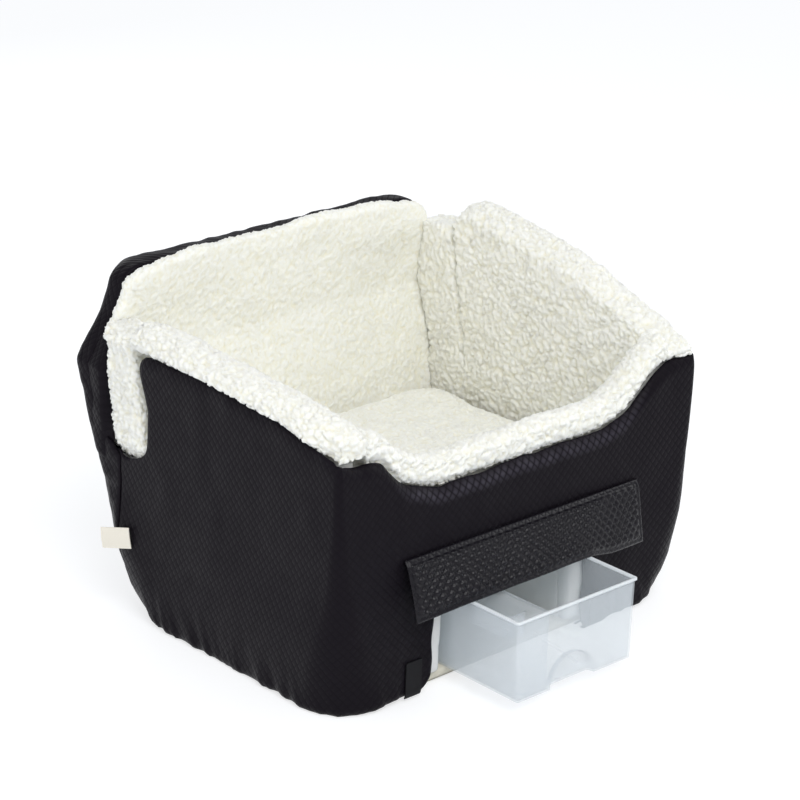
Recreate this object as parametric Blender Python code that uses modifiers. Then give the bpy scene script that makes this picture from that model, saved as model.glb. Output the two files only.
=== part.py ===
"""Raised car seat for a small dog.

A glued foam box stands on a foam base board. A quilted fabric cover is drawn over its outside and
gathered under the base by an elastic, a thick fleece lines the cabin and rolls over the rim, a fleece
cushion lies on the deck, and a moulded storage drawer slides under the deck behind a fabric flap.

Metres. X is the width, the drawer faces -Y, +Z is up. The origin is the middle of the base's underside.
"""

import math

import bmesh
import bpy
import numpy as np
from mathutils import Matrix, Vector

# Overall sizes of the seat
seat_width = 0.568
seat_depth = 0.517
back_height = 0.433
front_corner_height = 0.326
scoop_height = 0.261
left_wall_rear_height = 0.360
right_wall_rear_height = 0.398
left_wall_bow_share = 3.0
right_wall_bow_share = 1.4

# Thicknesses and fits
cover_thickness = 0.0025
foam_thickness = 0.030
back_foam_thickness = 0.0325
fleece_pile = 0.0140
fleece_crown = 0.034
touch_gap = 0.0003
rim_seat_gap = 0.0010
foam_relief = 0.0019
cut_overrun = 0.020

# How the cover is drawn in towards the ground
tuck_fade_height = 0.150
tuck_fade_power_share = 1.6
front_tuck = 0.0137
side_tuck = 0.003
front_corner_radius_top = 0.006
front_corner_radius_foot = 0.068
rear_corner_radius_top = 0.015
rear_corner_radius_foot = 0.120
rear_corner_fade_height = 0.150
foot_round = 0.012
hem_wrap_degrees = 70.0

# The leaning back and its shoulders
back_toe_setback = 0.045
back_head_setback = 0.017
back_bulge_height = 0.320
shoulder_start_height = 0.317
shoulder_waist_height = 0.372
shoulder_foot_slope_share = 0.60
shoulder_head_slope_share = 0.30
shoulder_radius = 0.030

# The scoop in the front rim, steep on the left and longer on the right: places across in shares of
# the half width, and how deep the rim lies there in shares of the scoop's depth
scoop_left_shares = ((-0.94, 0.0), (-0.86, 0.10), (-0.79, 0.15), (-0.75, 0.22), (-0.71, 0.45))
scoop_floor_shares = ((-0.66, 0.67), (-0.61, 0.78), (-0.54, 0.89), (-0.46, 1.0), (0.0, 0.97), (0.48, 0.95))
scoop_right_shares = ((0.54, 0.87), (0.635, 0.70), (0.68, 0.48), (0.727, 0.285), (0.775, 0.135), (0.85, 0.0))

# The side walls' rear edge and the fleece gussets behind them
gusset_front = 0.389
gusset_front_foot = 0.365
gusset_foot_height = 0.2155
gusset_top_height = 0.372
gusset_corner = 0.012
gusset_clearance = 0.0018
seam_setback = 0.420

# Base, drawer bay and deck
base_thickness = 0.020
base_rebate_height = 0.0058
bay_center_x = -0.0155
bay_width = 0.205
bay_height = 0.116
bay_depth = 0.345
deck_thickness = 0.020
cover_notch_width = 0.245
cover_notch_height = 0.150
cover_notch_corner = 0.014

# Drawer
drawer_width = 0.190
drawer_length = 0.332
drawer_height = 0.1050
drawer_wall = 0.0020
drawer_draft_share = 0.039
drawer_corner_radius = 0.012
drawer_lip = 0.0018
drawer_lip_height = 0.0030
drawer_pulled_out = 0.107
pull_arch_radius = 0.036
pull_arch_height = 0.033
pull_arch_depth = 0.017

# Flap over the drawer opening, folded under itself
flap_width = 0.376
flap_center_x = -0.001
flap_hinge_height = 0.190
flap_angle_degrees = 24.0
flap_leaf = 0.0030
flap_leaf_gap = 0.0030
flap_bead_radius = 0.0016
flap_bead_standoff = 0.0019
flap_inner_start = 0.020

# Hook and loop patches
patch_width = 0.024
patch_height = 0.046
patch_thickness = 0.0015
patch_foot_height = 0.006
patch_left_x = -0.165
flap_patch_width = 0.040
flap_patch_length = 0.022
flap_patch_thickness = 0.0022

# Cushion
cushion_clearance = 0.0045
cushion_height = 0.044
cushion_edge_height = 0.020
cushion_corner_radius = 0.045
cushion_draw_in = 0.006

# Trim
hem_elastic_radius = 0.0013
hem_elastic_clearance = 0.0015
hem_elastic_height = 0.0030
label_length = 0.040
label_height = 0.027
label_thickness = 0.0012
label_foot_height = 0.093
label_overlap = 0.010
label_droop_degrees = 12.0
label_splay_degrees = 14.0
belt_loop_width = 0.050
belt_loop_height = 0.150
belt_loop_foot_height = 0.130
belt_loop_standoff = 0.014
belt_loop_thickness = 0.0024
belt_loop_sewn_end = 0.024

# Values that follow from the sizes above
front_y = -seat_depth / 2.0
rear_y = seat_depth / 2.0
half_seat = seat_width / 2.0
cover_inset = cover_thickness + foam_relief
side_foam_inner = half_seat - cover_inset - foam_thickness
front_foam_inner = front_y + cover_inset + foam_thickness
back_thickness = back_foam_thickness + cover_inset
foam_foot = base_thickness + touch_gap
bay_roof = foam_foot + bay_height
deck_foot = bay_roof + touch_gap
deck_top = deck_foot + deck_thickness
scoop_depth = front_corner_height - scoop_height
bay_left = bay_center_x - bay_width / 2.0
bay_right = bay_center_x + bay_width / 2.0
gusset_top_y = front_y + gusset_front
gusset_foot_y = front_y + gusset_front_foot
seam_y = front_y + seam_setback
flap_angle = math.radians(flap_angle_degrees)
slope_end_height = back_height - shoulder_radius
hem_end_inset = foot_round - (foot_round - cover_thickness) * math.cos(math.radians(hem_wrap_degrees))
hem_elastic_inset = hem_end_inset + hem_elastic_radius + hem_elastic_clearance
base_rebate_inset = hem_elastic_inset + hem_elastic_radius + hem_elastic_clearance
left_wall = (left_wall_rear_height, left_wall_bow_share)
right_wall = (right_wall_rear_height, right_wall_bow_share)

# Heights where the back's faces bend, from its foot to its top
back_level_shares = (0.0, 0.14, 0.26, 0.38)
back_levels = [back_height * share for share in back_level_shares]
back_levels += [gusset_foot_height, (gusset_foot_height + shoulder_start_height) / 2.0, shoulder_start_height]
back_levels += [shoulder_waist_height, slope_end_height, back_height]

# Places along the front where the rim bends, as shares of the front's straight run
rim_steps = 26
rim_shares = [2.0 * i / rim_steps - 1.0 for i in range(rim_steps + 1)]

# Rows and columns of the cover: up to the notch, from there to the rim, round half a front corner,
# round a shoulder and along a side
lower_row_shares = (0.062, 0.139, 0.246, 0.386, 0.556, 0.742, 1.0)
upper_row_shares = (0.35, 0.7, 1.0)
corner_degrees = (11.0, 22.0, 33.0)
shoulder_degrees = (25.0, 48.0, 68.0)
side_column_shares = (0.04, 0.14, 0.28, 0.44, 0.60, 0.76, 0.90, 1.0)
back_side_points = 13
back_rear_points = 6
foot_row_count = 6

# The base board's rounded lower edge, in shares of its thickness
base_round_shares = (0.42, 0.5, 0.6, 1.0)

# The fleece roll over a rim, in shares of its crown: distance in from the outer face, and height
roll_shares = ((-0.10, 0.22), (-0.04, 0.55), (0.18, 0.84), (0.55, 1.0), (0.95, 0.93))
roll_cabin_share = 0.62
roll_foot_share = 0.10
roll_end_share = 0.5
roll_end_drop_share = 0.4
roll_station_shares = (0.12, 0.25, 0.4, 0.55, 0.7, 0.82, 0.92, 0.98, 1.0)

# The back's fleece pad: its soft edge in shares of the pile, and its top edge
pad_edge_share = 0.3
pad_top_narrow_share = 0.95
pad_top_thin_share = 0.6

# The gusset's bulge in shares of the fleece crown, and its corners in shares of the gusset
gusset_bulge_share = 0.18
gusset_top_share = 0.30
gusset_round_share = 0.2

# The cushion's rings from its underside to its crown: size and height
cushion_ring_shares = (
    (0.93, 0.0), (0.975, 0.10), (1.0, 0.32), (0.995, 0.48), (0.965, 0.66), (0.90, 0.80),
    (0.78, 0.90), (0.58, 0.96), (0.32, 0.99), (0.12, 1.0),
)

# Where the belt loop stands clear of the back, in shares of its free length
belt_loop_shares = (0.25, 0.5, 0.75)


def clear_scene():
    """Remove every object that the new file starts with."""
    for thing in list(bpy.data.objects):
        bpy.data.objects.remove(thing, do_unlink=True)


def make_collection(name):
    """A collection linked to the scene."""
    group = bpy.data.collections.new(name)
    bpy.context.scene.collection.children.link(group)
    return group


def make_material(name, color, roughness, metallic=0.0, alpha=1.0):
    """A Principled material with the finish of one kind of piece."""
    material = bpy.data.materials.new(name)
    material.use_nodes = True
    shader = material.node_tree.nodes["Principled BSDF"]
    shader.inputs["Base Color"].default_value = (*color, 1.0)
    shader.inputs["Roughness"].default_value = roughness
    shader.inputs["Metallic"].default_value = metallic
    shader.inputs["Alpha"].default_value = alpha
    return material


def smoothstep(share):
    """A soft ramp from 0 to 1."""
    share = min(max(share, 0.0), 1.0)
    return share * share * (3.0 - 2.0 * share)


def tuck(z):
    """How far the cover is drawn in at height z: 1 at the ground and 0 well above it."""
    return math.exp(-((max(z, 0.0) / tuck_fade_height) ** tuck_fade_power_share))


def back_setback(z):
    """How far the back's rear face stands in front of its rearmost bulge at height z."""
    if z <= back_bulge_height:
        share = max(z, 0.0) / back_bulge_height
        return back_toe_setback * (1.0 - share * share)
    share = (z - back_bulge_height) / (back_height - back_bulge_height)
    return back_head_setback * smoothstep(share)


def plan(z, inset=0.0):
    """The body's outline at height z, moved inwards by inset.

    Returns the half width, the front and rear y, and the radius of the front and rear corners.
    """
    drawn = tuck(z)
    half = half_seat - side_tuck * drawn - inset
    front = front_y + front_tuck * drawn + inset
    rear = rear_y - back_setback(z) - inset
    front_radius = front_corner_radius_top + (front_corner_radius_foot - front_corner_radius_top) * drawn
    rear_fade = math.exp(-((max(z, 0.0) / rear_corner_fade_height) ** 2))
    rear_radius = rear_corner_radius_top + (rear_corner_radius_foot - rear_corner_radius_top) * rear_fade
    return half, front, rear, max(front_radius - inset, cover_thickness), max(rear_radius - inset, cover_thickness)


def shoulder_half(z):
    """Half width of the back at height z: full below, sloping in above, with a round corner at the top."""
    if z <= shoulder_start_height:
        return half_seat
    waist_rise = min(z, shoulder_waist_height) - shoulder_start_height
    head_rise = max(min(z, slope_end_height) - shoulder_waist_height, 0.0)
    narrowed = half_seat - waist_rise * shoulder_foot_slope_share - head_rise * shoulder_head_slope_share
    if z <= slope_end_height:
        return narrowed
    rise = min(z - slope_end_height, shoulder_radius)
    return narrowed - shoulder_radius + math.sqrt(shoulder_radius**2 - rise**2)


def shoulder_turn(degrees, inset):
    """Height and half width at an angle round the shoulder's top corner, moved inwards by inset."""
    turn = math.radians(degrees)
    radius = shoulder_radius - inset
    center = shoulder_half(slope_end_height) - shoulder_radius
    return slope_end_height + radius * math.sin(turn), center + radius * math.cos(turn)


def front_rim_curve(x):
    """Height of the scooped rim at x, before it is drawn straight between the shared places."""
    places, depths = zip(*(scoop_left_shares + scoop_floor_shares + scoop_right_shares))
    return front_corner_height - scoop_depth * float(np.interp(x / half_seat, places, depths))


def rim_places():
    """x of the places where the front rim bends."""
    half, front, rear, front_radius, rear_radius = plan(front_corner_height)
    return [share * (half - front_radius) for share in rim_shares]


def front_rim(x):
    """Height of the cover's top edge along the front, with the scoop that the dog looks over."""
    places = rim_places()
    return float(np.interp(x, places, [front_rim_curve(place) for place in places]))


def side_rim(y, wall):
    """Height of a side wall's top edge at y: wall is its rear height and how much the edge bows up."""
    rear_height, bow = wall
    share = min((y - front_y) / gusset_front, 1.0)
    return front_corner_height + (rear_height - front_corner_height) * (1.0 - (1.0 - share) ** bow)


def wall_edge_y(z):
    """y of a side wall's rear edge beside the gusset, which leans back towards its top."""
    share = (z - gusset_foot_height) / (left_wall_rear_height - gusset_foot_height)
    return gusset_foot_y + (gusset_top_y - gusset_foot_y) * min(max(share, 0.0), 1.0)


def back_front_face(z):
    """y of the back foam's front face, straight between the levels that all the pieces on it share."""
    for low, high in zip(back_levels[:-1], back_levels[1:]):
        if z <= high:
            break
    share = (z - low) / (high - low)
    setback = back_setback(low) + (back_setback(high) - back_setback(low)) * share
    return rear_y - setback - back_thickness


def levels_between(low, high):
    """The two heights with the back face's shared levels that lie between them."""
    return [low] + [z for z in back_levels if low + touch_gap < z < high - touch_gap] + [high]


def new_object(name, mesh, group, material=None):
    """Link a mesh as an object of its own."""
    thing = bpy.data.objects.new(name, mesh)
    group.objects.link(thing)
    if material is not None:
        thing.data.materials.append(material)
    return thing


def mesh_from(name, points, faces):
    """A mesh from a list of points and faces, with its normals made to point outwards."""
    mesh = bpy.data.meshes.new(name)
    mesh.from_pydata(points, [], faces)
    shape = bmesh.new()
    shape.from_mesh(mesh)
    bmesh.ops.recalc_face_normals(shape, faces=shape.faces)
    shape.to_mesh(mesh)
    shape.free()
    return mesh


def sheet_mesh(name, rows):
    """An open surface through rows of points, each joined to the next as far as both of them reach."""
    points = [point for row in rows for point in row]
    faces = []
    first = 0
    for row, after in zip(rows, rows[1:]):
        second = first + len(row)
        for a in range(min(len(row), len(after)) - 1):
            faces.append((first + a, first + a + 1, second + a + 1, second + a))
        first = second
    mesh = bpy.data.meshes.new(name)
    mesh.from_pydata(points, [], faces)
    return mesh


def loft_mesh(name, loops, last_cap=None):
    """A closed solid through loops of points, with one flat cap at each end.

    last_cap lists the last loop's faces by the points' places in the loop, where it isn't flat.
    """
    count = len(loops[0])
    points = [point for loop in loops for point in loop]
    faces = [tuple(range(count))]
    for r in range(len(loops) - 1):
        for c in range(count):
            a = r * count + c
            b = r * count + (c + 1) % count
            faces.append((a, b, b + count, a + count))
    last = (len(loops) - 1) * count
    for cap in last_cap or [range(count)]:
        faces.append(tuple(last + c for c in cap))
    return mesh_from(name, points, faces)


def prism_mesh(name, outline, low, high, axis):
    """A flat outline extruded along one axis from low to high.

    The outline's two values are the other two axes in X, Y, Z order.
    """
    curve = bpy.data.curves.new(name, "CURVE")
    curve.dimensions = "2D"
    curve.fill_mode = "BOTH"
    curve.extrude = (high - low) / 2.0
    spline = curve.splines.new("POLY")
    spline.points.add(len(outline) - 1)
    spline.use_cyclic_u = True
    for target, (u, v) in zip(spline.points, outline):
        target.co = (u, v, 0.0, 1.0)
    holder = bpy.data.objects.new(name, curve)
    bpy.context.scene.collection.objects.link(holder)
    evaluated = holder.evaluated_get(bpy.context.evaluated_depsgraph_get())
    mesh = bpy.data.meshes.new_from_object(evaluated)
    bpy.data.objects.remove(holder, do_unlink=True)
    columns = {"X": (1, 2, 0), "Y": (0, 2, 1), "Z": (0, 1, 2)}[axis]
    turn = Matrix(((0.0,) * 4,) * 4)
    for source, target in enumerate(columns):
        turn[target][source] = 1.0
    turn[3][3] = 1.0
    turn[columns[2]][3] = (low + high) / 2.0
    mesh.transform(turn)
    shape = bmesh.new()
    shape.from_mesh(mesh)
    bmesh.ops.remove_doubles(shape, verts=shape.verts, dist=touch_gap / 10.0)
    bmesh.ops.recalc_face_normals(shape, faces=shape.faces)
    shape.to_mesh(mesh)
    shape.free()
    return mesh


def box_mesh(name, low, high):
    """A box between two corners, from the cube primitive."""
    shape = bmesh.new()
    size = Vector(high) - Vector(low)
    middle = (Vector(high) + Vector(low)) / 2.0
    bmesh.ops.create_cube(shape, size=1.0, matrix=Matrix.Translation(middle) @ Matrix.Diagonal((*size, 1.0)))
    mesh = bpy.data.meshes.new(name)
    shape.to_mesh(mesh)
    shape.free()
    return mesh


def add_boolean(thing, tool, operation):
    """Cut, join or trim one object with another."""
    modifier = thing.modifiers.new(tool.name, "BOOLEAN")
    modifier.operation = operation
    modifier.solver = "EXACT"
    modifier.object = tool


def add_solidify(thing, thickness):
    """Give an open surface its thickness, measured inwards."""
    modifier = thing.modifiers.new("Wall", "SOLIDIFY")
    modifier.thickness = thickness
    modifier.offset = -1.0


def make_cutter(name, mesh, group):
    """An object that only shapes others."""
    thing = new_object(name, mesh, group)
    thing.hide_render = True
    thing.display_type = "WIRE"
    return thing


def spread(low, high, count):
    """count values from low to high, both ends included."""
    return [low + (high - low) * i / (count - 1) for i in range(count)]


def rounded_rectangle(x_low, x_high, y_low, y_high, radius, steps=4):
    """A closed outline with round corners, anticlockwise from the low x side's front."""
    corners = (
        (x_low + radius, y_low + radius, 180.0),
        (x_high - radius, y_low + radius, 270.0),
        (x_high - radius, y_high - radius, 0.0),
        (x_low + radius, y_high - radius, 90.0),
    )
    outline = []
    for cx, cy, start in corners:
        for angle in spread(start, start + 90.0, steps + 1):
            turn = math.radians(angle)
            outline.append((cx + radius * math.cos(turn), cy + radius * math.sin(turn)))
    return outline


def body_outline(z, inset, steps=9):
    """The whole body's closed outline at height z."""
    half, front, rear, front_radius, rear_radius = plan(z, inset)
    outline = []
    for sign, start in ((-1.0, 180.0), (1.0, 270.0)):
        for angle in spread(start, start + 90.0, steps + 1):
            turn = math.radians(angle)
            outline.append((
                sign * (half - front_radius) + front_radius * math.cos(turn),
                front + front_radius + front_radius * math.sin(turn),
                z,
            ))
    for sign, start in ((1.0, 0.0), (-1.0, 90.0)):
        for angle in spread(start, start + 90.0, steps + 1):
            turn = math.radians(angle)
            outline.append((
                sign * (half - rear_radius) + rear_radius * math.cos(turn),
                rear - rear_radius + rear_radius * math.sin(turn),
                z,
            ))
    return outline


def foot_rows():
    """Height and extra inset of the cover's rows round the base's lower edge, hem first."""
    rows = []
    for angle in spread(hem_wrap_degrees, 0.0, foot_row_count):
        turn = math.radians(angle)
        rows.append((foot_round * (1.0 - math.sin(turn)), foot_round * (1.0 - math.cos(turn))))
    return rows


def side_column(z, inset, where):
    """A point on the left side: where is a kind and a value.

    ("rear", y) stands behind the wall's rear edge, ("run", share) between that edge and the front
    corner, ("turn", degrees) on the corner, and ("seam", gaps) at a distance from the corner's seam.
    """
    half, front, rear, front_radius, rear_radius = plan(z, inset)
    kind, value = where
    if kind == "turn" or kind == "seam":
        turn = math.radians(value) if kind == "turn" else math.pi / 4.0 - value * touch_gap / front_radius
        return (
            -half + front_radius - front_radius * math.cos(turn),
            front + front_radius - front_radius * math.sin(turn),
            z,
        )
    y = value
    if kind == "run":
        edge = wall_edge_y(z) - touch_gap
        y = edge + (front + front_radius - edge) * value
    return (-half + arc_inset(y - (rear - rear_radius), rear_radius), y, z)


def front_column(z, inset, share):
    """A point on the front's straight run, share from -1 at the left corner to 1 at the right."""
    half, front, rear, front_radius, rear_radius = plan(z, inset)
    return (share * (half - front_radius), front, z)


def column_rows(point_at, top=None):
    """One column of the cover, from the hem to the gusset's notch, and on to the height top if it has one."""
    notch = gusset_foot_height - touch_gap
    points = [point_at(z, inset) for z, inset in foot_rows()]
    points += [point_at(foot_round + (notch - foot_round) * share, 0.0) for share in lower_row_shares]
    if top is not None:
        points += [point_at(notch + (top - notch) * share, 0.0) for share in upper_row_shares]
    return points


def side_wheres():
    """Places of the left panel's columns from the seam to the corner, with each one's kind of top edge."""
    notch_places = spread(seam_y - touch_gap, gusset_foot_y + gusset_corner, 4)
    wheres = [("notch", ("rear", y)) for y in notch_places]
    wheres.append(("edge", ("run", 0.0)))
    wheres += [("rim", ("run", share)) for share in side_column_shares]
    wheres += [("rim", ("turn", degrees)) for degrees in corner_degrees]
    wheres += [("rim", ("seam", 4.0)), ("rim", ("seam", 1.0))]
    return wheres


def make_side_panel(name, sign, wall, group, material):
    """The quilted panel over one side wall: built on the left, and mirrored for the right."""
    columns = []
    for kind, where in side_wheres():
        if kind == "notch":
            top = None
        elif kind == "edge":
            top = side_rim(gusset_top_y, wall) - gusset_corner
        else:
            x, y, z = side_column(front_corner_height, 0.0, where)
            top = side_rim(y, wall)
        columns.append(column_rows(lambda z, inset, where=where: side_column(z, inset, where), top))
    columns = [[(sign * -x, y, z) for x, y, z in column] for column in columns]
    thing = new_object(name, sheet_mesh(name, columns), group, material)
    orient_outwards(thing)
    add_solidify(thing, cover_thickness)
    return thing


def orient_outwards(thing):
    """Turn an open sheet's faces so that they point away from the middle of the body."""
    mesh = thing.data
    center = Vector((0.0, 0.0, back_height / 2.0))
    score = sum((Vector(face.center) - center).dot(face.normal) * face.area for face in mesh.polygons)
    if score < 0.0:
        mesh.flip_normals()


def make_front_panel(group, cutters, material):
    """The front of the cover with its scoop, and the notch that lets the drawer through."""
    columns = []

    def add(point_at):
        top = front_corner_height
        for settle in range(5):
            top = front_rim(point_at(top, 0.0)[0])
        columns.append(column_rows(point_at, top))

    corner_wheres = [("seam", -1.0), ("seam", -4.0)]
    corner_wheres += [("turn", 90.0 - degrees) for degrees in reversed(corner_degrees)]
    for where in corner_wheres:
        add(lambda z, inset, w=where: side_column(z, inset, w))
    for share in rim_shares:
        add(lambda z, inset, s=share: front_column(z, inset, s))
    for where in reversed(corner_wheres):
        def right_corner(z, inset, w=where):
            x, y, z = side_column(z, inset, w)
            return (-x, y, z)
        add(right_corner)
    thing = new_object("cover_front", sheet_mesh("cover_front", columns), group, material)
    orient_outwards(thing)
    add_solidify(thing, cover_thickness)
    half_notch = cover_notch_width / 2.0
    outline = rounded_rectangle(
        bay_center_x - half_notch, bay_center_x + half_notch,
        -cut_overrun, cover_notch_height, cover_notch_corner,
    )
    notch = prism_mesh("cover_notch", outline, front_y - cut_overrun, front_y + cut_overrun * 2.0, "Y")
    add_boolean(thing, make_cutter("cover_notch", notch, cutters), "DIFFERENCE")
    return thing


def back_edge_y(z):
    """y of the back panel's front edge: the side seam below the gusset, the foam's front face above it."""
    blend = smoothstep((z - gusset_foot_height) / (gusset_corner * 2.0))
    return (seam_y + touch_gap) * (1.0 - blend) + (back_front_face(z)) * blend


def back_half_row(z, inset):
    """Half a row of the back panel, from its front edge on the left to the middle of the rear."""
    half, front, rear, front_radius, rear_radius = plan(z, inset)
    half = min(half, shoulder_half(z) - inset)
    edge = back_edge_y(z)
    arc_start = rear - rear_radius
    straight = max(arc_start - edge, 0.0)
    first = math.asin(min(max((edge - arc_start) / rear_radius, 0.0), 1.0))
    run = straight + rear_radius * (math.pi / 2.0 - first)
    points = []
    for along in spread(0.0, run, back_side_points):
        if along < straight:
            points.append((-half, edge + along, z))
        else:
            turn = first + (along - straight) / rear_radius
            points.append((
                -half + rear_radius - rear_radius * math.cos(turn),
                arc_start + rear_radius * math.sin(turn),
                z,
            ))
    start = points[-1][0]
    for x in spread(start, 0.0, back_rear_points)[1:]:
        points.append((x, rear, z))
    return points


def arc_inset(into_arc, radius):
    """How far a round corner has moved in from the side at a distance into its arc."""
    if into_arc <= 0.0:
        return 0.0
    return radius - math.sqrt(max(radius**2 - into_arc**2, 0.0))


def back_heights():
    """Heights of the back panel's rows above the foot, up to its flat top."""
    heights = [foot_round * 1.4, foot_round * 2.0] + [z for z in back_levels if foot_round * 2.0 < z]
    heights.remove(gusset_foot_height)
    heights.remove(back_height)
    heights += [gusset_foot_height - touch_gap, gusset_foot_height + gusset_corner,
                gusset_foot_height + gusset_corner * 2.0]
    for low, high in zip(back_levels[1:4], back_levels[2:5]):
        heights.append((low + high) / 2.0)
    heights += [shoulder_turn(degrees, 0.0)[0] for degrees in shoulder_degrees]
    return sorted(heights)


def make_back_panel(group, material):
    """The cover over the back: it wraps the rear corners, the sides and the top edge of the back foam."""
    rows = [back_half_row(z, inset) for z, inset in foot_rows()]
    rows += [back_half_row(z, 0.0) for z in back_heights()]
    narrowing = shoulder_half(back_height) / abs(rows[-1][0][0])
    top_row = [(x * narrowing, y, back_height) for x, y, z in rows[-1]]
    mesh = sheet_mesh("cover_back", rows + [top_row])
    shape = bmesh.new()
    shape.from_mesh(mesh)
    shape.verts.ensure_lookup_table()
    top_edge = list(shape.verts)[-len(top_row):]
    middle = shape.verts.new((0.0, back_front_face(back_height), back_height))
    shape.faces.new([*top_edge, middle])
    bmesh.ops.recalc_face_normals(shape, faces=shape.faces)
    shape.to_mesh(mesh)
    shape.free()
    thing = new_object("cover_back", mesh, group, material)
    orient_outwards(thing)
    mirror = thing.modifiers.new("Other half", "MIRROR")
    mirror.merge_threshold = touch_gap / 10.0
    add_solidify(thing, cover_thickness)
    return thing


def make_base_board(group, material):
    """The foam board that the seat stands on, its lower edge rebated for the cover's hem and elastic."""
    inner_round = foot_round - cover_inset
    loops = [
        body_outline(0.0, base_rebate_inset + touch_gap),
        body_outline(base_rebate_height, base_rebate_inset),
        body_outline(base_rebate_height + touch_gap * 2.0, hem_elastic_inset),
    ]
    for share in base_round_shares:
        z = base_thickness * share
        inset = foot_round - math.sqrt(inner_round**2 - max(foot_round - z, 0.0) ** 2)
        loops.append(body_outline(z, inset))
    return new_object("base_board", loft_mesh("base_board", loops), group, material)


def make_core(cutters):
    """The space inside the cover, which trims the foam pieces to its shape."""
    heights = [-cut_overrun, base_thickness]
    heights += [z for z in back_heights() if z > base_thickness + touch_gap]
    heights.append(back_height + cut_overrun)
    loops = [body_outline(z, cover_inset) for z in heights]
    return make_cutter("core", loft_mesh("core", loops), cutters)


def make_side_wall(name, sign, wall, core, group, material):
    """One foam side wall, with the notch at its rear that the fleece gusset fills."""
    rim_drop = touch_gap * 3.0
    notch_foot = gusset_foot_height - touch_gap * 2.0
    edge_top = side_rim(gusset_top_y, wall) - gusset_corner
    outline = [(front_y - cut_overrun, foam_foot)]
    outline += [(back_front_face(z) - touch_gap, z) for z in levels_between(foam_foot, notch_foot)]
    for z in (notch_foot, min(left_wall_rear_height, edge_top - touch_gap), edge_top):
        outline.append((wall_edge_y(z) - touch_gap, z))
    for share in roll_station_shares[::-1]:
        y = front_foam_inner + (gusset_top_y - gusset_corner - front_foam_inner) * share
        outline.append((y, side_rim(y, wall) - rim_drop))
    for y in (front_foam_inner, front_y - cut_overrun):
        outline.append((y, side_rim(y, wall) - rim_drop))
    outer = sign * (half_seat + cut_overrun)
    inner = sign * side_foam_inner
    mesh = prism_mesh(name, outline, min(outer, inner), max(outer, inner), "X")
    thing = new_object(name, mesh, group, material)
    add_boolean(thing, core, "INTERSECT")
    return thing


def rim_between(reach):
    """Places of the front rim from -reach to reach, both ends included."""
    return [-reach] + [x for x in rim_places() if abs(x) < reach - touch_gap] + [reach]


def make_front_wall(core, group, material):
    """The foam front wall: scooped on top, open below for the drawer."""
    reach = side_foam_inner - touch_gap
    rim_drop = touch_gap * 3.0
    outline = [(-reach, foam_foot), (bay_left, foam_foot), (bay_left, bay_roof), (bay_right, bay_roof),
               (bay_right, foam_foot), (reach, foam_foot)]
    for x in rim_between(reach):
        outline.append((-x, front_rim(-x) - rim_drop))
    mesh = prism_mesh("foam_front", outline, front_y - cut_overrun, front_foam_inner, "Y")
    thing = new_object("foam_front", mesh, group, material)
    add_boolean(thing, core, "INTERSECT")
    return thing


def make_back_wall(group, material):
    """The leaning foam back with its cut shoulders."""
    loops = [back_foam_loop(z, shoulder_half(z) - cover_inset) for z in levels_between(foam_foot, slope_end_height)]
    for degrees in (*shoulder_degrees, 90.0):
        z, half = shoulder_turn(degrees, cover_inset)
        loops.append(back_foam_loop(z, half))
    return new_object("foam_back", loft_mesh("foam_back", loops), group, material)


def back_foam_loop(z, shoulder):
    """One closed outline of the back foam, no wider than the shoulders there."""
    half, front, rear, front_radius, rear_radius = plan(z, cover_inset)
    half = min(half, shoulder)
    face = back_front_face(z)
    arc_start = rear - rear_radius
    arc_foot = max(arc_start, face + touch_gap)
    begin = math.asin((arc_foot - arc_start) / rear_radius)
    side = [(-half + arc_inset(face - arc_start, rear_radius), face)]
    for turn in spread(begin, math.pi / 2.0, 6):
        side.append((-half + rear_radius - rear_radius * math.cos(turn), arc_start + rear_radius * math.sin(turn)))
    right = [(-x, y) for x, y in reversed(side)]
    return [(x, y, z) for x, y in side + right]


def make_risers(core, group, material):
    """Foam blocks that carry the deck and leave the drawer's bay between them."""
    rear = back_front_face(foam_foot) - touch_gap
    front = front_foam_inner + touch_gap
    reach = side_foam_inner - touch_gap
    blocks = (
        ("riser_left", (-reach, front), (bay_left, rear)),
        ("riser_right", (bay_right, front), (reach, rear)),
        ("riser_rear", (bay_left + touch_gap, front_y + bay_depth), (bay_right - touch_gap, rear)),
    )
    for name, low, high in blocks:
        mesh = box_mesh(name, (*low, foam_foot), (*high, bay_roof))
        thing = new_object(name, mesh, group, material)
        if name != "riser_rear":
            add_boolean(thing, core, "INTERSECT")


def make_deck(group, material):
    """The foam board that roofs the bay and floors the cabin."""
    reach = side_foam_inner - touch_gap
    rear = back_front_face(deck_foot) - touch_gap
    mesh = box_mesh("deck_board", (-reach, front_foam_inner + touch_gap, deck_foot), (reach, rear, deck_top))
    return new_object("deck_board", mesh, group, material)


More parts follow.
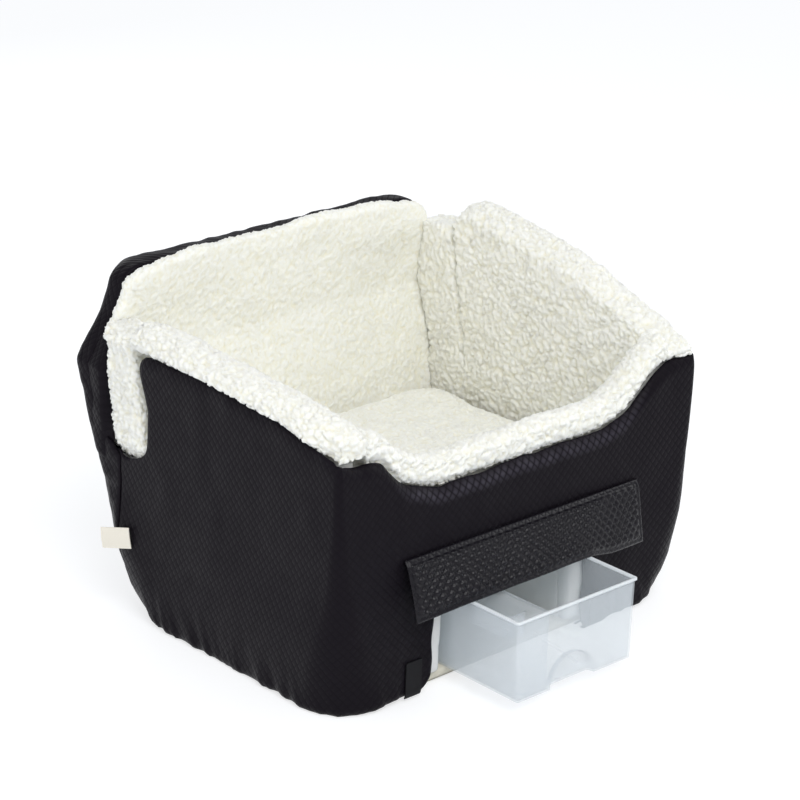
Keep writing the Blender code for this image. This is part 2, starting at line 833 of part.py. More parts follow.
def fleece_profile(rim, lining_foot):
    """Cross-section of the fleece over a wall, as (distance in from the outer face, height) pairs.

    It starts on the cover's edge, swells outwards and over the foam, and runs down the cabin side to
    lining_foot. Where there is nothing to line, lining_foot is the rim and the fleece is only a roll.
    """
    face = cover_inset + foam_thickness + touch_gap
    lining = face + fleece_pile
    seat = rim + rim_seat_gap
    foam_top = max(rim + rim_seat_gap / 2.0, lining_foot)
    cabin_foot = rim + fleece_crown * roll_foot_share
    lined = lining_foot < gusset_foot_height
    cabin_level = gusset_foot_height if lined else (cabin_foot + lining_foot) / 2.0
    foam_level = gusset_foot_height if lined else lining_foot + touch_gap
    profile = [(touch_gap, seat)]
    profile += [(fleece_crown * inwards, rim + fleece_crown * rise) for inwards, rise in roll_shares]
    profile += [
        (lining, rim + fleece_crown * roll_cabin_share),
        (lining, cabin_foot),
        (lining, cabin_level),
        (lining, lining_foot),
        (face, lining_foot),
        (face, foam_level),
        (face - touch_gap, foam_top),
        (cover_inset, foam_top),
        (cover_thickness + touch_gap, seat),
    ]
    return profile


def make_side_fleece(name, sign, wall, group, material):
    """Fleece over a side wall, from the front corner to the gusset."""
    foot = deck_top + touch_gap
    front_end = front_y + touch_gap
    rear_end = gusset_top_y - touch_gap
    lining_start = front_foam_inner + touch_gap
    stations = [(front_end, 0.0, False), (front_end + fleece_crown * roll_end_share / 2.0, 0.0, False)]
    stations += [(lining_start, 0.0, False), (lining_start + touch_gap, 0.0, True)]
    for share in roll_station_shares:
        stations.append((lining_start + (rear_end - lining_start) * share, share, True))
    loops = []
    for y, share, lined in stations:
        rim = side_rim(y, wall)
        seat = rim + rim_seat_gap
        near_end = min(y - front_end, rear_end - y) / (fleece_crown * roll_end_share)
        swell = 1.0 - roll_end_drop_share * max(1.0 - near_end, 0.0) ** 2
        loop = []
        for inwards, z in fleece_profile(rim, foot if lined else seat):
            lean = (wall_edge_y(z) - gusset_top_y) * share
            if z > seat:
                z = seat + (z - seat) * swell
            loop.append((sign * (half_seat - inwards), y + lean, z))
        loops.append(loop)
    cabin = len(roll_shares) + 2
    last_cap = ((*range(cabin + 1), *range(cabin + 5, len(loops[0]))),
                (cabin, cabin + 1, cabin + 4, cabin + 5),
                (cabin + 1, cabin + 2, cabin + 3, cabin + 4))
    return new_object(name, loft_mesh(name, loops, last_cap), group, material)


def make_front_fleece(group, material):
    """Fleece over the front wall, following the scoop between the two side rolls."""
    foot = deck_top + touch_gap
    reach = half_seat - cover_inset - foam_thickness - fleece_pile - touch_gap * 3.0
    loops = []
    for x in rim_between(reach):
        loops.append([
            (x, front_y + inwards, z) for inwards, z in fleece_profile(front_rim(x), foot)
        ])
    return new_object("fleece_front", loft_mesh("fleece_front", loops), group, material)


def make_back_fleece(group, material):
    """The fleece pad on the front of the back foam, inside the cover's dark edge."""
    levels = [(z, side_foam_inner - touch_gap) for z in
              levels_between(deck_top + touch_gap, gusset_foot_height - touch_gap)]
    for z in levels_between(gusset_foot_height + touch_gap, slope_end_height):
        levels.append((z, shoulder_half(z) - cover_thickness * 2.0))
    for degrees in shoulder_degrees[:3]:
        levels.append(shoulder_turn(degrees, cover_thickness * 2.0))
    loops = []
    for z, half in levels:
        face = back_front_face(z) - touch_gap
        front = face - fleece_pile
        soft = fleece_pile * pad_edge_share
        left = [(-half, face, z), (-half, front + soft, z), (-half + soft, front, z), (-half / 2.0, front, z)]
        loops.append(left + [(0.0, front, z)] + [(-x, y, z) for x, y, z in reversed(left)])
    last = loops[-1]
    face = last[0][1]
    top = back_height - cover_thickness * 1.4
    loops.append([(x * pad_top_narrow_share, face - (face - y) * pad_top_thin_share, top) for x, y, z in last])
    return new_object("fleece_back", loft_mesh("fleece_back", loops), group, material)


def make_gusset(name, sign, group, material):
    """The fleece strip that joins a side wall to the back and bulges out through the notch."""
    lining_outer = side_foam_inner - touch_gap
    lining_inner = lining_outer - fleece_pile
    tucked = half_seat - cover_inset - touch_gap
    bulge = half_seat + fleece_crown * gusset_bulge_share
    foot = deck_top + touch_gap
    notch = gusset_foot_height
    swell_foot = notch + gusset_corner
    swell_top = gusset_top_height - gusset_corner
    rows = [(z, lining_outer) for z in levels_between(foot, notch - touch_gap)]
    rows += [(notch + touch_gap, tucked), (swell_foot, tucked), (swell_foot + touch_gap, half_seat)]
    swell_levels = levels_between(swell_foot + gusset_corner / 2.0, swell_top) + [left_wall_rear_height]
    rows += [(z, bulge) for z in sorted(swell_levels)]
    rows.append((gusset_top_height, half_seat - fleece_crown * gusset_top_share))
    loops = []
    for z, outer in rows:
        rear = back_front_face(z) - touch_gap * 3.0 - fleece_pile
        if outer > tucked:
            rear = min(rear, back_edge_y(z) - touch_gap * 3.0)
        front = wall_edge_y(z) + touch_gap
        if outer > tucked:
            front += gusset_clearance
        low, high = sorted((sign * outer, sign * lining_inner))
        radius = min(rear - front, high - low) * gusset_round_share
        outline = rounded_rectangle(low, high, front, rear, radius, 3)
        loops.append([(x, y, z) for x, y in outline])
    return new_object(name, loft_mesh(name, loops), group, material)


def make_cushion(group, material):
    """The lift-out fleece cushion: crowned on top, drawn in between its corners."""
    foot = deck_top + touch_gap
    half = side_foam_inner - touch_gap * 2.0 - fleece_pile - cushion_clearance
    front = front_foam_inner + touch_gap * 2.0 + fleece_pile + cushion_clearance
    rear = back_front_face(foot + cushion_edge_height) - touch_gap - fleece_pile - cushion_clearance
    middle = (front + rear) / 2.0
    half_depth = (rear - front) / 2.0
    outline = rounded_rectangle(-half, half, -half_depth, half_depth, cushion_corner_radius, 5)
    outline = subdivide_loop(outline, cushion_corner_radius)
    loops = []
    for size, rise in cushion_ring_shares:
        loop = []
        for x, y in outline:
            pull_x = cushion_draw_in * (1.0 - min(abs(y) / half_depth, 1.0) ** 2) * math.copysign(1.0, x)
            pull_y = cushion_draw_in * (1.0 - min(abs(x) / half, 1.0) ** 2) * math.copysign(1.0, y)
            side_x = min(abs(x) / half, 1.0) ** 6
            side_y = min(abs(y) / half_depth, 1.0) ** 6
            px = (x - pull_x * side_x) * size
            py = (y - pull_y * side_y) * size
            loop.append((px, middle + py, foot + cushion_height * rise))
        loops.append(loop)
    return new_object("cushion", loft_mesh("cushion", loops), group, material)


def subdivide_loop(outline, longest):
    """Split the straight runs of a closed outline into pieces no longer than a given length."""
    result = []
    for i, point in enumerate(outline):
        after = outline[(i + 1) % len(outline)]
        run = math.dist(point, after)
        pieces = max(int(math.ceil(run / longest)), 1)
        for k in range(pieces):
            share = k / pieces
            result.append((point[0] + (after[0] - point[0]) * share, point[1] + (after[1] - point[1]) * share))
    return result


def drawer_loop(z_above_foot, outer_offset):
    """A level outline of the drawer: wider towards its top, moved outwards by outer_offset."""
    draft = (drawer_height - z_above_foot) * drawer_draft_share
    front = front_y - drawer_pulled_out
    half = drawer_width / 2.0 - draft + outer_offset
    outline = rounded_rectangle(
        bay_center_x - half, bay_center_x + half,
        front + draft - outer_offset, front + drawer_length - draft + outer_offset,
        drawer_corner_radius + outer_offset, 4,
    )
    return [(x, y, foam_foot + touch_gap + z_above_foot) for x, y in outline]


def arch_mesh(name, radius_grow, depth_grow):
    """The arched space under the front of the drawer that takes the fingers."""
    front = front_y - drawer_pulled_out
    foot = foam_foot + touch_gap
    steps = 14
    outline = [(bay_center_x - pull_arch_radius - radius_grow, foot - cut_overrun)]
    for angle in spread(180.0, 0.0, steps + 1):
        turn = math.radians(angle)
        outline.append((
            bay_center_x + (pull_arch_radius + radius_grow) * math.cos(turn),
            foot + (pull_arch_height + radius_grow) * math.sin(turn),
        ))
    outline.append((bay_center_x + pull_arch_radius + radius_grow, foot - cut_overrun))
    return prism_mesh(name, outline, front - cut_overrun, front + pull_arch_depth + depth_grow, "Y")


def make_drawer(group, cutters, material):
    """The moulded drawer: drafted walls, a lip round its top, and an arched finger pull."""
    lip_foot = drawer_height - drawer_lip_height
    loops = [
        drawer_loop(0.0, -drawer_wall * 0.8),
        drawer_loop(drawer_wall, 0.0),
        drawer_loop(lip_foot, 0.0),
        drawer_loop(lip_foot, drawer_lip),
        drawer_loop(drawer_height, drawer_lip),
    ]
    drawer = new_object("drawer_tray", loft_mesh("drawer_tray", loops), group, material)
    inside = [
        drawer_loop(drawer_wall, -drawer_wall * 1.8),
        drawer_loop(drawer_wall * 2.0, -drawer_wall),
        drawer_loop(drawer_height + cut_overrun, -drawer_wall),
    ]
    cavity = make_cutter("drawer_cavity", loft_mesh("drawer_cavity", inside), cutters)
    pull_wall = make_cutter("pull_wall", arch_mesh("pull_wall", drawer_wall, drawer_wall), cutters)
    pull_space = make_cutter("pull_space", arch_mesh("pull_space", 0.0, 0.0), cutters)
    add_boolean(cavity, pull_wall, "DIFFERENCE")
    add_boolean(drawer, cavity, "DIFFERENCE")
    add_boolean(drawer, pull_space, "DIFFERENCE")
    return drawer


def flap_axis():
    """Place of the seam that the flap swings on."""
    half, front, rear, front_radius, rear_radius = plan(flap_hinge_height)
    return (flap_center_x, front - flap_bead_standoff, flap_hinge_height)


def flap_length():
    """Length of the folded flap, so that its fold lies on the drawer's rim."""
    fold_radius = flap_leaf + flap_leaf_gap / 2.0
    fold_center_back = (flap_leaf + flap_leaf_gap) / 2.0
    rim_top = foam_foot + touch_gap + drawer_height
    drop = flap_hinge_height - rim_top - touch_gap - fold_radius
    return (drop - fold_center_back * math.sin(flap_angle)) / math.cos(flap_angle) + fold_radius


def flap_point(along, back):
    """(y, z) of a point given by its distance down the flap and towards its back."""
    x, y, z = flap_axis()
    return (
        y - along * math.sin(flap_angle) + back * math.cos(flap_angle),
        z - along * math.cos(flap_angle) - back * math.sin(flap_angle),
    )


def make_flap(group, material, patch_material):
    """The flap, hinged on its top seam and folded under, with loop patches between its leaves."""
    length = flap_length()
    half_leaf = flap_leaf / 2.0
    fold_radius = flap_leaf + flap_leaf_gap / 2.0
    inner_radius = flap_leaf_gap / 2.0
    fold_back = half_leaf + inner_radius
    fold_along = length - fold_radius
    outline = []
    for angle in spread(90.0, 270.0, 7):
        turn = math.radians(angle)
        outline.append((flap_bead_radius * math.cos(turn), -flap_bead_radius * math.sin(turn)))
    outline.append((fold_along, half_leaf))
    inner_fold = [(fold_along + inner_radius * math.sin(math.radians(a)),
                   fold_back - inner_radius * math.cos(math.radians(a))) for a in spread(30.0, 150.0, 5)]
    outline += inner_fold
    outline.append((fold_along, fold_back + inner_radius))
    outline.append((flap_inner_start, fold_back + inner_radius))
    outline.append((flap_inner_start, fold_back + fold_radius))
    outline.append((fold_along, fold_back + fold_radius))
    outer_fold = [(fold_along + fold_radius * math.sin(math.radians(a)),
                   fold_back - fold_radius * math.cos(math.radians(a))) for a in spread(150.0, 30.0, 5)]
    outline += outer_fold
    outline.append((fold_along, -half_leaf))
    yz = [flap_point(along, back) for along, back in outline]
    axis = flap_axis()
    low = flap_center_x - flap_width / 2.0
    high = flap_center_x + flap_width / 2.0
    mesh = prism_mesh("drawer_flap", yz, low, high, "X")
    flap = new_object("drawer_flap", mesh, group, material)
    set_origin(flap, axis)
    inset = (flap_leaf_gap - flap_patch_thickness) / 2.0
    near = half_leaf + inset
    far = near + flap_patch_thickness
    patch_end = fold_along - touch_gap
    patch_start = patch_end - flap_patch_length
    corners = ((patch_start, near), (patch_end, near), (patch_end, far), (patch_start, far))
    quad = [flap_point(along, back) for along, back in corners]
    for name, sign in (("flap_loop_patch_left", -1.0), ("flap_loop_patch_right", 1.0)):
        middle = flap_center_x + sign * (flap_width / 2.0 - flap_patch_width)
        mesh = prism_mesh(name, quad, middle - flap_patch_width / 2.0, middle + flap_patch_width / 2.0, "X")
        patch = new_object(name, mesh, group, patch_material)
        set_origin(patch, axis)


def set_origin(thing, place):
    """Put an object's origin at a place without moving its mesh."""
    offset = Vector(place)
    thing.data.transform(Matrix.Translation(-offset))
    thing.location = offset


def front_surface_y(x, z, inset):
    """y of the cover's front at x and z, moved inwards by inset, on the straight run or a round corner."""
    half, front, rear, front_radius, rear_radius = plan(z, inset)
    return front + arc_inset(abs(x) - (half - front_radius), front_radius)


def make_hook_patches(group, material):
    """The hook patches on the cover, one each side of the drawer opening, that the flap closes on."""
    right_x = 2.0 * bay_center_x - patch_left_x
    lifted = foot_round + patch_thickness + touch_gap * 3.0
    foot_degrees = math.degrees(math.asin(1.0 - patch_foot_height / foot_round))
    levels = []
    for angle in spread(foot_degrees, 0.0, 4):
        turn = math.radians(angle)
        levels.append((foot_round - lifted * math.sin(turn), foot_round - lifted * math.cos(turn)))
    top = patch_foot_height + patch_height
    levels += [(z, foot_round - lifted) for z in ((foot_round + top) / 2.0, top)]
    for name, middle in (("hook_patch_left", patch_left_x), ("hook_patch_right", right_x)):
        places = spread(middle - patch_width / 2.0, middle + patch_width / 2.0, 5)
        rows = [[(x, front_surface_y(x, z, inset), z) for x in places] for z, inset in levels]
        thing = new_object(name, sheet_mesh(name, rows), group, material)
        orient_outwards(thing)
        add_solidify(thing, patch_thickness)


def make_hem_elastic(group, material):
    """The elastic in the cover's hem, from one side of the drawer opening round the back to the other."""
    half_notch = cover_notch_width / 2.0
    z = hem_elastic_height
    steps = 8
    loop = [Vector(point) for point in body_outline(z, hem_elastic_inset, steps)]
    left_end = Vector((bay_center_x - half_notch - cover_notch_corner, 0.0, z))
    right_end = Vector((bay_center_x + half_notch + cover_notch_corner, 0.0, z))
    left_end.y = front_surface_y(left_end.x, z, hem_elastic_inset)
    right_end.y = front_surface_y(right_end.x, z, hem_elastic_inset)
    ordered = [left_end]
    ordered += [p for p in reversed(loop[:steps + 1]) if p.x < left_end.x]
    ordered += list(reversed(loop[3 * steps + 3:4 * steps + 4]))
    ordered += list(reversed(loop[2 * steps + 2:3 * steps + 3]))
    ordered += [p for p in reversed(loop[steps + 1:2 * steps + 2]) if p.x > right_end.x]
    ordered += [right_end]
    curve = bpy.data.curves.new("hem_elastic", "CURVE")
    curve.dimensions = "3D"
    spline = curve.splines.new("POLY")
    spline.points.add(len(ordered) - 1)
    for target, point in zip(spline.points, ordered):
        target.co = (*point, 1.0)
    curve.bevel_depth = hem_elastic_radius
    curve.bevel_resolution = 1
    curve.use_fill_caps = True
    return new_object("hem_elastic", curve, group, material)


def make_label(group, material):
    """The blank fabric tab: its front end lies on the left panel, and the rest stands out past the rear seam."""
    sewn_y = seam_y - label_overlap
    splay = math.tan(math.radians(label_splay_degrees))
    droop = math.tan(math.radians(label_droop_degrees))
    rows = []
    for level in spread(label_foot_height, label_foot_height + label_height, 3):
        x, y, z = side_column(level, 0.0, ("rear", sewn_y))
        x -= touch_gap + label_thickness
        row = [(x - along * splay, y + along, z - along * droop) for along in spread(0.0, label_length, 5)]
        rows.append(row)
    tab = new_object("label_tab", sheet_mesh("label_tab", rows), group, material)
    orient_outwards(tab)
    add_solidify(tab, label_thickness)
    return tab


def make_belt_loop(group, material):
    """The webbing loop on the back that a seat belt passes through."""
    def rear_at(z):
        half, front, rear, front_radius, rear_radius = plan(z)
        return rear

    def sewn_heights(low, high):
        between = [z for z in back_heights() if low + touch_gap < z < high - touch_gap]
        return [low, *between, high]

    foot = belt_loop_foot_height
    top = foot + belt_loop_height
    lift = touch_gap * 2.0
    path = [(rear_at(z) + lift, z) for z in sewn_heights(foot, foot + belt_loop_sewn_end)]
    for share in belt_loop_shares:
        z = foot + belt_loop_sewn_end + (belt_loop_height - 2.0 * belt_loop_sewn_end) * share
        path.append((rear_at(z) + lift + belt_loop_standoff, z))
    path += [(rear_at(z) + lift, z) for z in sewn_heights(top - belt_loop_sewn_end, top)]
    outer = [(y + belt_loop_thickness, z) for y, z in path]
    outline = path + list(reversed(outer))
    mesh = prism_mesh("belt_loop", outline, -belt_loop_width / 2.0, belt_loop_width / 2.0, "X")
    return new_object("belt_loop", mesh, group, material)


def main():
    """Build the whole seat."""
    clear_scene()
    group = make_collection("dog_car_seat")
    cutters = make_collection("cutters")
    quilt = make_material("black_quilt", (0.022, 0.020, 0.023), 0.62)
    fleece = make_material("cream_fleece", (0.86, 0.85, 0.79), 0.95)
    foam = make_material("white_foam", (0.88, 0.87, 0.84), 0.85)
    base_foam = make_material("cream_foam", (0.80, 0.76, 0.66), 0.85)
    plastic = make_material("clear_plastic", (0.80, 0.86, 0.92), 0.25, 0.0, 0.5)
    hook = make_material("black_hook_tape", (0.012, 0.012, 0.014), 0.7)
    webbing = make_material("black_webbing", (0.02, 0.02, 0.022), 0.6)
    label = make_material("cream_label", (0.80, 0.76, 0.64), 0.8)
    core = make_core(cutters)
    make_base_board(group, base_foam)
    make_side_wall("foam_left", -1.0, left_wall, core, group, foam)
    make_side_wall("foam_right", 1.0, right_wall, core, group, foam)
    make_front_wall(core, group, foam)
    make_back_wall(group, foam)
    make_risers(core, group, foam)
    make_deck(group, foam)
    make_side_panel("cover_left", -1.0, left_wall, group, quilt)
    make_side_panel("cover_right", 1.0, right_wall, group, quilt)
    make_front_panel(group, cutters, quilt)
    make_back_panel(group, quilt)
    make_side_fleece("fleece_left", -1.0, left_wall, group, fleece)
    make_side_fleece("fleece_right", 1.0, right_wall, group, fleece)
    make_front_fleece(group, fleece)
    make_back_fleece(group, fleece)
    make_gusset("fleece_gusset_left", -1.0, group, fleece)
    make_gusset("fleece_gusset_right", 1.0, group, fleece)
    make_cushion(group, fleece)
    make_drawer(group, cutters, plastic)
    make_flap(group, quilt, hook)
    make_hook_patches(group, hook)
    make_hem_elastic(group, hook)
    make_label(group, label)
    make_belt_loop(group, webbing)


main()
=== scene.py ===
# %% [markdown]
# # A booster seat for a small dog, dressed for its picture
#
# The object is a car seat for a small dog: a foam box in a fitted, quilted black cover, lined with
# curly cream fleece that rolls over the rim, with a loose cushion inside and a see-through drawer
# below, behind a quilted flap. The solid model comes in first as a fixed frame, so that every new
# surface can be made in place, in metres, and can ride on the part that carries it.

# %% The frame and the tools
import itertools
import math

import bmesh
import bpy
import numpy as np
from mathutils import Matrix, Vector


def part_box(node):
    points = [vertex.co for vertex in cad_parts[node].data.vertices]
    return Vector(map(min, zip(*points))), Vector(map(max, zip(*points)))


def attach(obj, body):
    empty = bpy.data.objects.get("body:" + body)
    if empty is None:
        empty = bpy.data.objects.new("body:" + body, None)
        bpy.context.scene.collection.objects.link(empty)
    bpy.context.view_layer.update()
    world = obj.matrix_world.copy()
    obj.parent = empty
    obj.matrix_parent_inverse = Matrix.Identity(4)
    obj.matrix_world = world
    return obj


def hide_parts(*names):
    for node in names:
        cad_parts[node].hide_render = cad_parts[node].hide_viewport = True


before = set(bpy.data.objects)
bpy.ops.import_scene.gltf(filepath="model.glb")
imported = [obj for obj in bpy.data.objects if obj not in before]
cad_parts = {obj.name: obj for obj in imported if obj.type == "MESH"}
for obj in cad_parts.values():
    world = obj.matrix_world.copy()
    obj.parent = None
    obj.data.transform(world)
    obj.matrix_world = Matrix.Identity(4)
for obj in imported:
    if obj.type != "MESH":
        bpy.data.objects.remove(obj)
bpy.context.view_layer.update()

# %% [markdown]
# ## The camera
#
# The camera comes before the pieces, because all of them are judged through it. A long lens some
# three metres away keeps the walls nearly parallel, and the seat is seen from its front left
# corner and a little above, so that the left wall, the front and the inside all show.

# %% The camera
camera = bpy.data.objects.new("camera", bpy.data.cameras.new("camera"))
camera.data.lens = 119.15
camera.data.sensor_width = 36.0
camera.location = (-1.981, -2.3266, 1.4265)
camera.rotation_euler = (math.radians(90.0 - 20.85), 0.0, math.radians(-40.81))
bpy.context.scene.collection.objects.link(camera)
bpy.context.scene.camera = camera
print("camera", round(camera.location.length, 3), "m from the seat's middle")

# %% [markdown]
# ## Noise and meshes from arrays
#
# Cloth and wool are never even, so most surfaces below borrow their unevenness from two kinds of
# noise. Smooth noise blends random heights at the corners of cubes, and suits folds and dents.
# Tuft noise measures the distance to scattered points, and suits curls of wool, which are round on
# top and meet in narrow creases. Both work on whole arrays of points, so they are quick.

# %% Noise
def hashed(cells, seed):
    """A random-looking number from 0 to 1 for each cell: the fraction left of a large sine."""
    weights = np.array([127.1, 311.7, 74.7])
    return np.mod(np.sin(cells @ weights + 17.13 * seed) * 43758.5453, 1.0)


def soft_noise(points, size, seed):
    """Noise from -1 to 1: random heights at the corners of cubes of that size, blended with an S curve."""
    scaled = points / size
    cell = np.floor(scaled)
    share = scaled - cell
    share = share * share * (3.0 - 2.0 * share)
    total = 0.0
    for corner in itertools.product((0.0, 1.0), repeat=3):
        near = np.array(corner)
        weight = np.prod(near * share + (1.0 - near) * (1.0 - share), axis=-1)
        total = total + weight * hashed(cell + near, seed)
    return 2.0 * total - 1.0


def tufts(points, size, seed):
    """Curl height from 0 in the creases to 1 on the crowns.

    One point is scattered in each cube of that size. The height falls with the square of the
    distance to the nearest point, and drops to nothing where the two nearest are equally far."""
    scaled = points / size
    cell = np.floor(scaled)
    nearest = np.full(len(points), 9.0)
    second = np.full(len(points), 9.0)
    for step in itertools.product((-1.0, 0.0, 1.0), repeat=3):
        home = cell + np.array(step)
        place = home + np.stack([hashed(home, seed + k) for k in (1, 2, 3)], axis=-1)
        away = np.linalg.norm(scaled - place, axis=-1)
        second = np.minimum(second, np.maximum(nearest, away))
        nearest = np.minimum(nearest, away)
    crease = np.clip((second - nearest) / 0.28, 0.0, 1.0)
    return crease * (2.0 - crease) * np.clip(1.15 - 0.75 * nearest * nearest, 0.0, 1.0)


one_place = np.array([[0.12, 0.04, 0.31]])
print("at one place: noise", soft_noise(one_place, 0.02, 1).round(3), "tuft", tufts(one_place, 0.02, 1).round(3))


# %% Curves that many shapes share
def within(value):
    """The value held between 0 and 1."""
    return np.clip(value, 0.0, 1.0)


def ease(value, start, run):
    """An S curve, 0 at start and 1 one run further on, flat at both: three squares less two cubes of the share.

    A run below zero goes the other way."""
    share = within((value - start) / run)
    return share * share * (3.0 - 2.0 * share)


def bell(value, width):
    """1 at zero and falling on both sides: e to the minus of the square of value over width."""
    return np.exp(-((value / width) ** 2.0))


def joined(*parts):
    """Arrays and numbers set side by side on a new last axis, as the x, y and z of points are."""
    return np.stack(np.broadcast_arrays(*parts), axis=-1)


print("halfway along, the S curve is at", ease(0.5, 0.0, 1.0))


# %% Sheets from grids of points
def add_object(name, mesh, material=None):
    """Puts a mesh into the scene as an object at the origin, shaded smooth."""
    made = bpy.data.objects.new(name, mesh)
    bpy.context.scene.collection.objects.link(made)
    mesh.polygons.foreach_set("use_smooth", np.ones(len(mesh.polygons), bool))
    if material is not None:
        mesh.materials.clear()
        mesh.materials.append(material)
    return made


def set_uv(mesh, uv):
    """Writes one (u, v) per vertex into the mesh, in metres of cloth, copied to each face corner."""
    corners = np.empty(len(mesh.loops), np.int32)
    mesh.loops.foreach_get("vertex_index", corners)
    layer = mesh.uv_layers.new(name="cloth")
    layer.data.foreach_set("uv", uv[corners].astype(np.float32).ravel())


def keep_on_points(mesh, name, values):
    """Keeps one number per point under a name, for the finish to read."""
    kept = mesh.attributes.new(name, "FLOAT", "POINT")
    kept.data.foreach_set("value", values.astype(np.float32))


def grid_quads(shape):
    """The numbers of a grid's points, row by row, and the four of each quad between neighbours."""
    number = np.arange(shape[0] * shape[1]).reshape(shape[:2])
    return number, joined(number[:-1, :-1], number[:-1, 1:], number[1:, 1:], number[1:, :-1])


def surface(name, points, material, uv=None, keep=None, painted_highlight=None):
    """A sheet from a grid of points, rows by columns by 3, with quads between neighbours.

    keep is a mask of the quads, one row and one column shorter than the grid. Points that no quad
    uses are left out. The last argument, one number per point, is kept as an attribute: the mask
    of the cloth's painted satin highlight."""
    number, quads = grid_quads(points.shape)
    quads = quads[keep] if keep is not None else quads.reshape(-1, 4)
    used, quads = np.unique(quads.ravel(), return_inverse=True)
    mesh = bpy.data.meshes.new(name)
    mesh.from_pydata(points.reshape(-1, 3)[used].tolist(), [], quads.reshape(-1, 4).tolist())
    if uv is not None:
        set_uv(mesh, uv.reshape(-1, 2)[used])
    if painted_highlight is not None:
        keep_on_points(mesh, "painted_highlight", painted_highlight.reshape(-1)[used])
    return add_object(name, mesh, material)


print("a grid of 3 by 4 points has", len(grid_quads((3, 4))[1].reshape(-1, 4)), "quads")


# %% Closed bodies from grids and rings
def closed_pad(name, front, back, material, uv=None):
    """A closed pad from two grids of the same size, sewn together along their borders.

    The front's quads keep their order, the back's are turned over, and each edge of the front's
    border is joined to the same edge of the back's by one quad."""
    number, quads = grid_quads(front.shape)
    quads, count = quads.reshape(-1, 4), number.size
    border = np.concatenate([number[0, :-1], number[:-1, -1], number[-1, :0:-1], number[:0:-1, 0]])
    ahead = np.roll(border, -1)
    sides = joined(ahead, border, border + count, ahead + count)
    faces = np.concatenate([quads, quads[:, ::-1] + count, sides])
    mesh = bpy.data.meshes.new(name)
    points = np.concatenate([front.reshape(-1, 3), back.reshape(-1, 3)])
    mesh.from_pydata(points.tolist(), [], faces.tolist())
    if uv is not None:
        set_uv(mesh, np.concatenate([uv.reshape(-1, 2)] * 2))
    return add_object(name, mesh, material)


def closed_loft(name, rings, material):
    """A closed body from rings of points, rings by points by 3: quads between neighbouring rings, each ring
    joined to its own start, and one flat face at each end."""
    number = np.arange(rings.shape[0] * rings.shape[1]).reshape(rings.shape[:2])
    ahead = np.roll(number, -1, axis=1)
    quads = joined(number[:-1], ahead[:-1], ahead[1:], number[1:]).reshape(-1, 4).tolist()
    mesh = bpy.data.meshes.new(name)
    mesh.from_pydata(rings.reshape(-1, 3).tolist(), [], quads + [number[0, ::-1].tolist(), number[-1].tolist()])
    return add_object(name, mesh, material)


print("closed bodies come from", closed_pad.__name__, "and", closed_loft.__name__)


# %% Reading, moving and smoothing points
def rows_of_three(items, field):
    """One field of a mesh's items as an array of rows of three."""
    rows = np.empty(len(items) * 3, np.float32)
    items.foreach_get(field, rows)
    return rows.reshape(-1, 3).astype(float)


def points_of(mesh):
    """The mesh's points."""
    return rows_of_three(mesh.vertices, "co")


def normals_of(mesh):
    """The outward direction at each of the mesh's points."""
    return rows_of_three(mesh.vertex_normals, "vector")


def move_points(mesh, points):
    """Writes an array of points back into the mesh."""
    mesh.vertices.foreach_set("co", points.astype(np.float32).ravel())
    mesh.update()


relax_share = 0.5


def relax(mesh, rounds):
    """Smooths a mesh: each round moves every point a share of the way to its neighbours' mean."""
    points = points_of(mesh)
    edges = np.empty(len(mesh.edges) * 2, np.int32)
    mesh.edges.foreach_get("vertices", edges)
    first, second = edges.reshape(-1, 2).T
    count = np.bincount(edges, minlength=len(points))[:, None]
    for turn in range(rounds):
        total = np.zeros_like(points)
        for axis in range(3):
            total[:, axis] += np.bincount(first, points[second, axis], minlength=len(points))
            total[:, axis] += np.bincount(second, points[first, axis], minlength=len(points))
        points += relax_share * (total / count - points)
    move_points(mesh, points)


print("each relaxing round goes", relax_share, "of the way")


# %% Copies of the solids
merge_distance = 0.00001


def merged_copy(name, nodes):
    """One new mesh from solid nodes, in which the corners that their loose triangles share are merged."""
    gathered = bmesh.new()
    for node in nodes:
        gathered.from_mesh(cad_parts[node].data)
    bmesh.ops.remove_doubles(gathered, verts=gathered.verts, dist=merge_distance)
    mesh = bpy.data.meshes.new(name)
    gathered.to_mesh(mesh)
    gathered.free()
    return mesh


def voxel_copy(name, nodes, voxel, material, grown=0.0):
    """One even skin of small quads round a merged copy of solid nodes.

    Solids that only touch are grown a little along their normals, so that one skin closes over both."""
    rough = merged_copy(name + "_rough", nodes)
    move_points(rough, points_of(rough) + normals_of(rough) * grown)
    source = add_object(name + "_rough", rough)
    remesh = source.modifiers.new("even", "REMESH")
    remesh.mode = "VOXEL"
    remesh.voxel_size = voxel
    ready = source.evaluated_get(bpy.context.evaluated_depsgraph_get())
    mesh = bpy.data.meshes.new_from_object(ready)
    mesh.name = name
    bpy.data.objects.remove(source)
    return add_object(name, mesh, material)


print("solids that can be copied:", len(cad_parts))


# %% The thickness of cloth
cloth_thickness = 0.0014


def thicken(made):
    """Gives a sheet of cloth its thickness, inwards from the worked-out surface."""
    thick = made.modifiers.new("thickness", "SOLIDIFY")
    thick.thickness = cloth_thickness
    thick.offset = -1.0


print("cloth is", cloth_thickness * 1000.0, "mm thick")
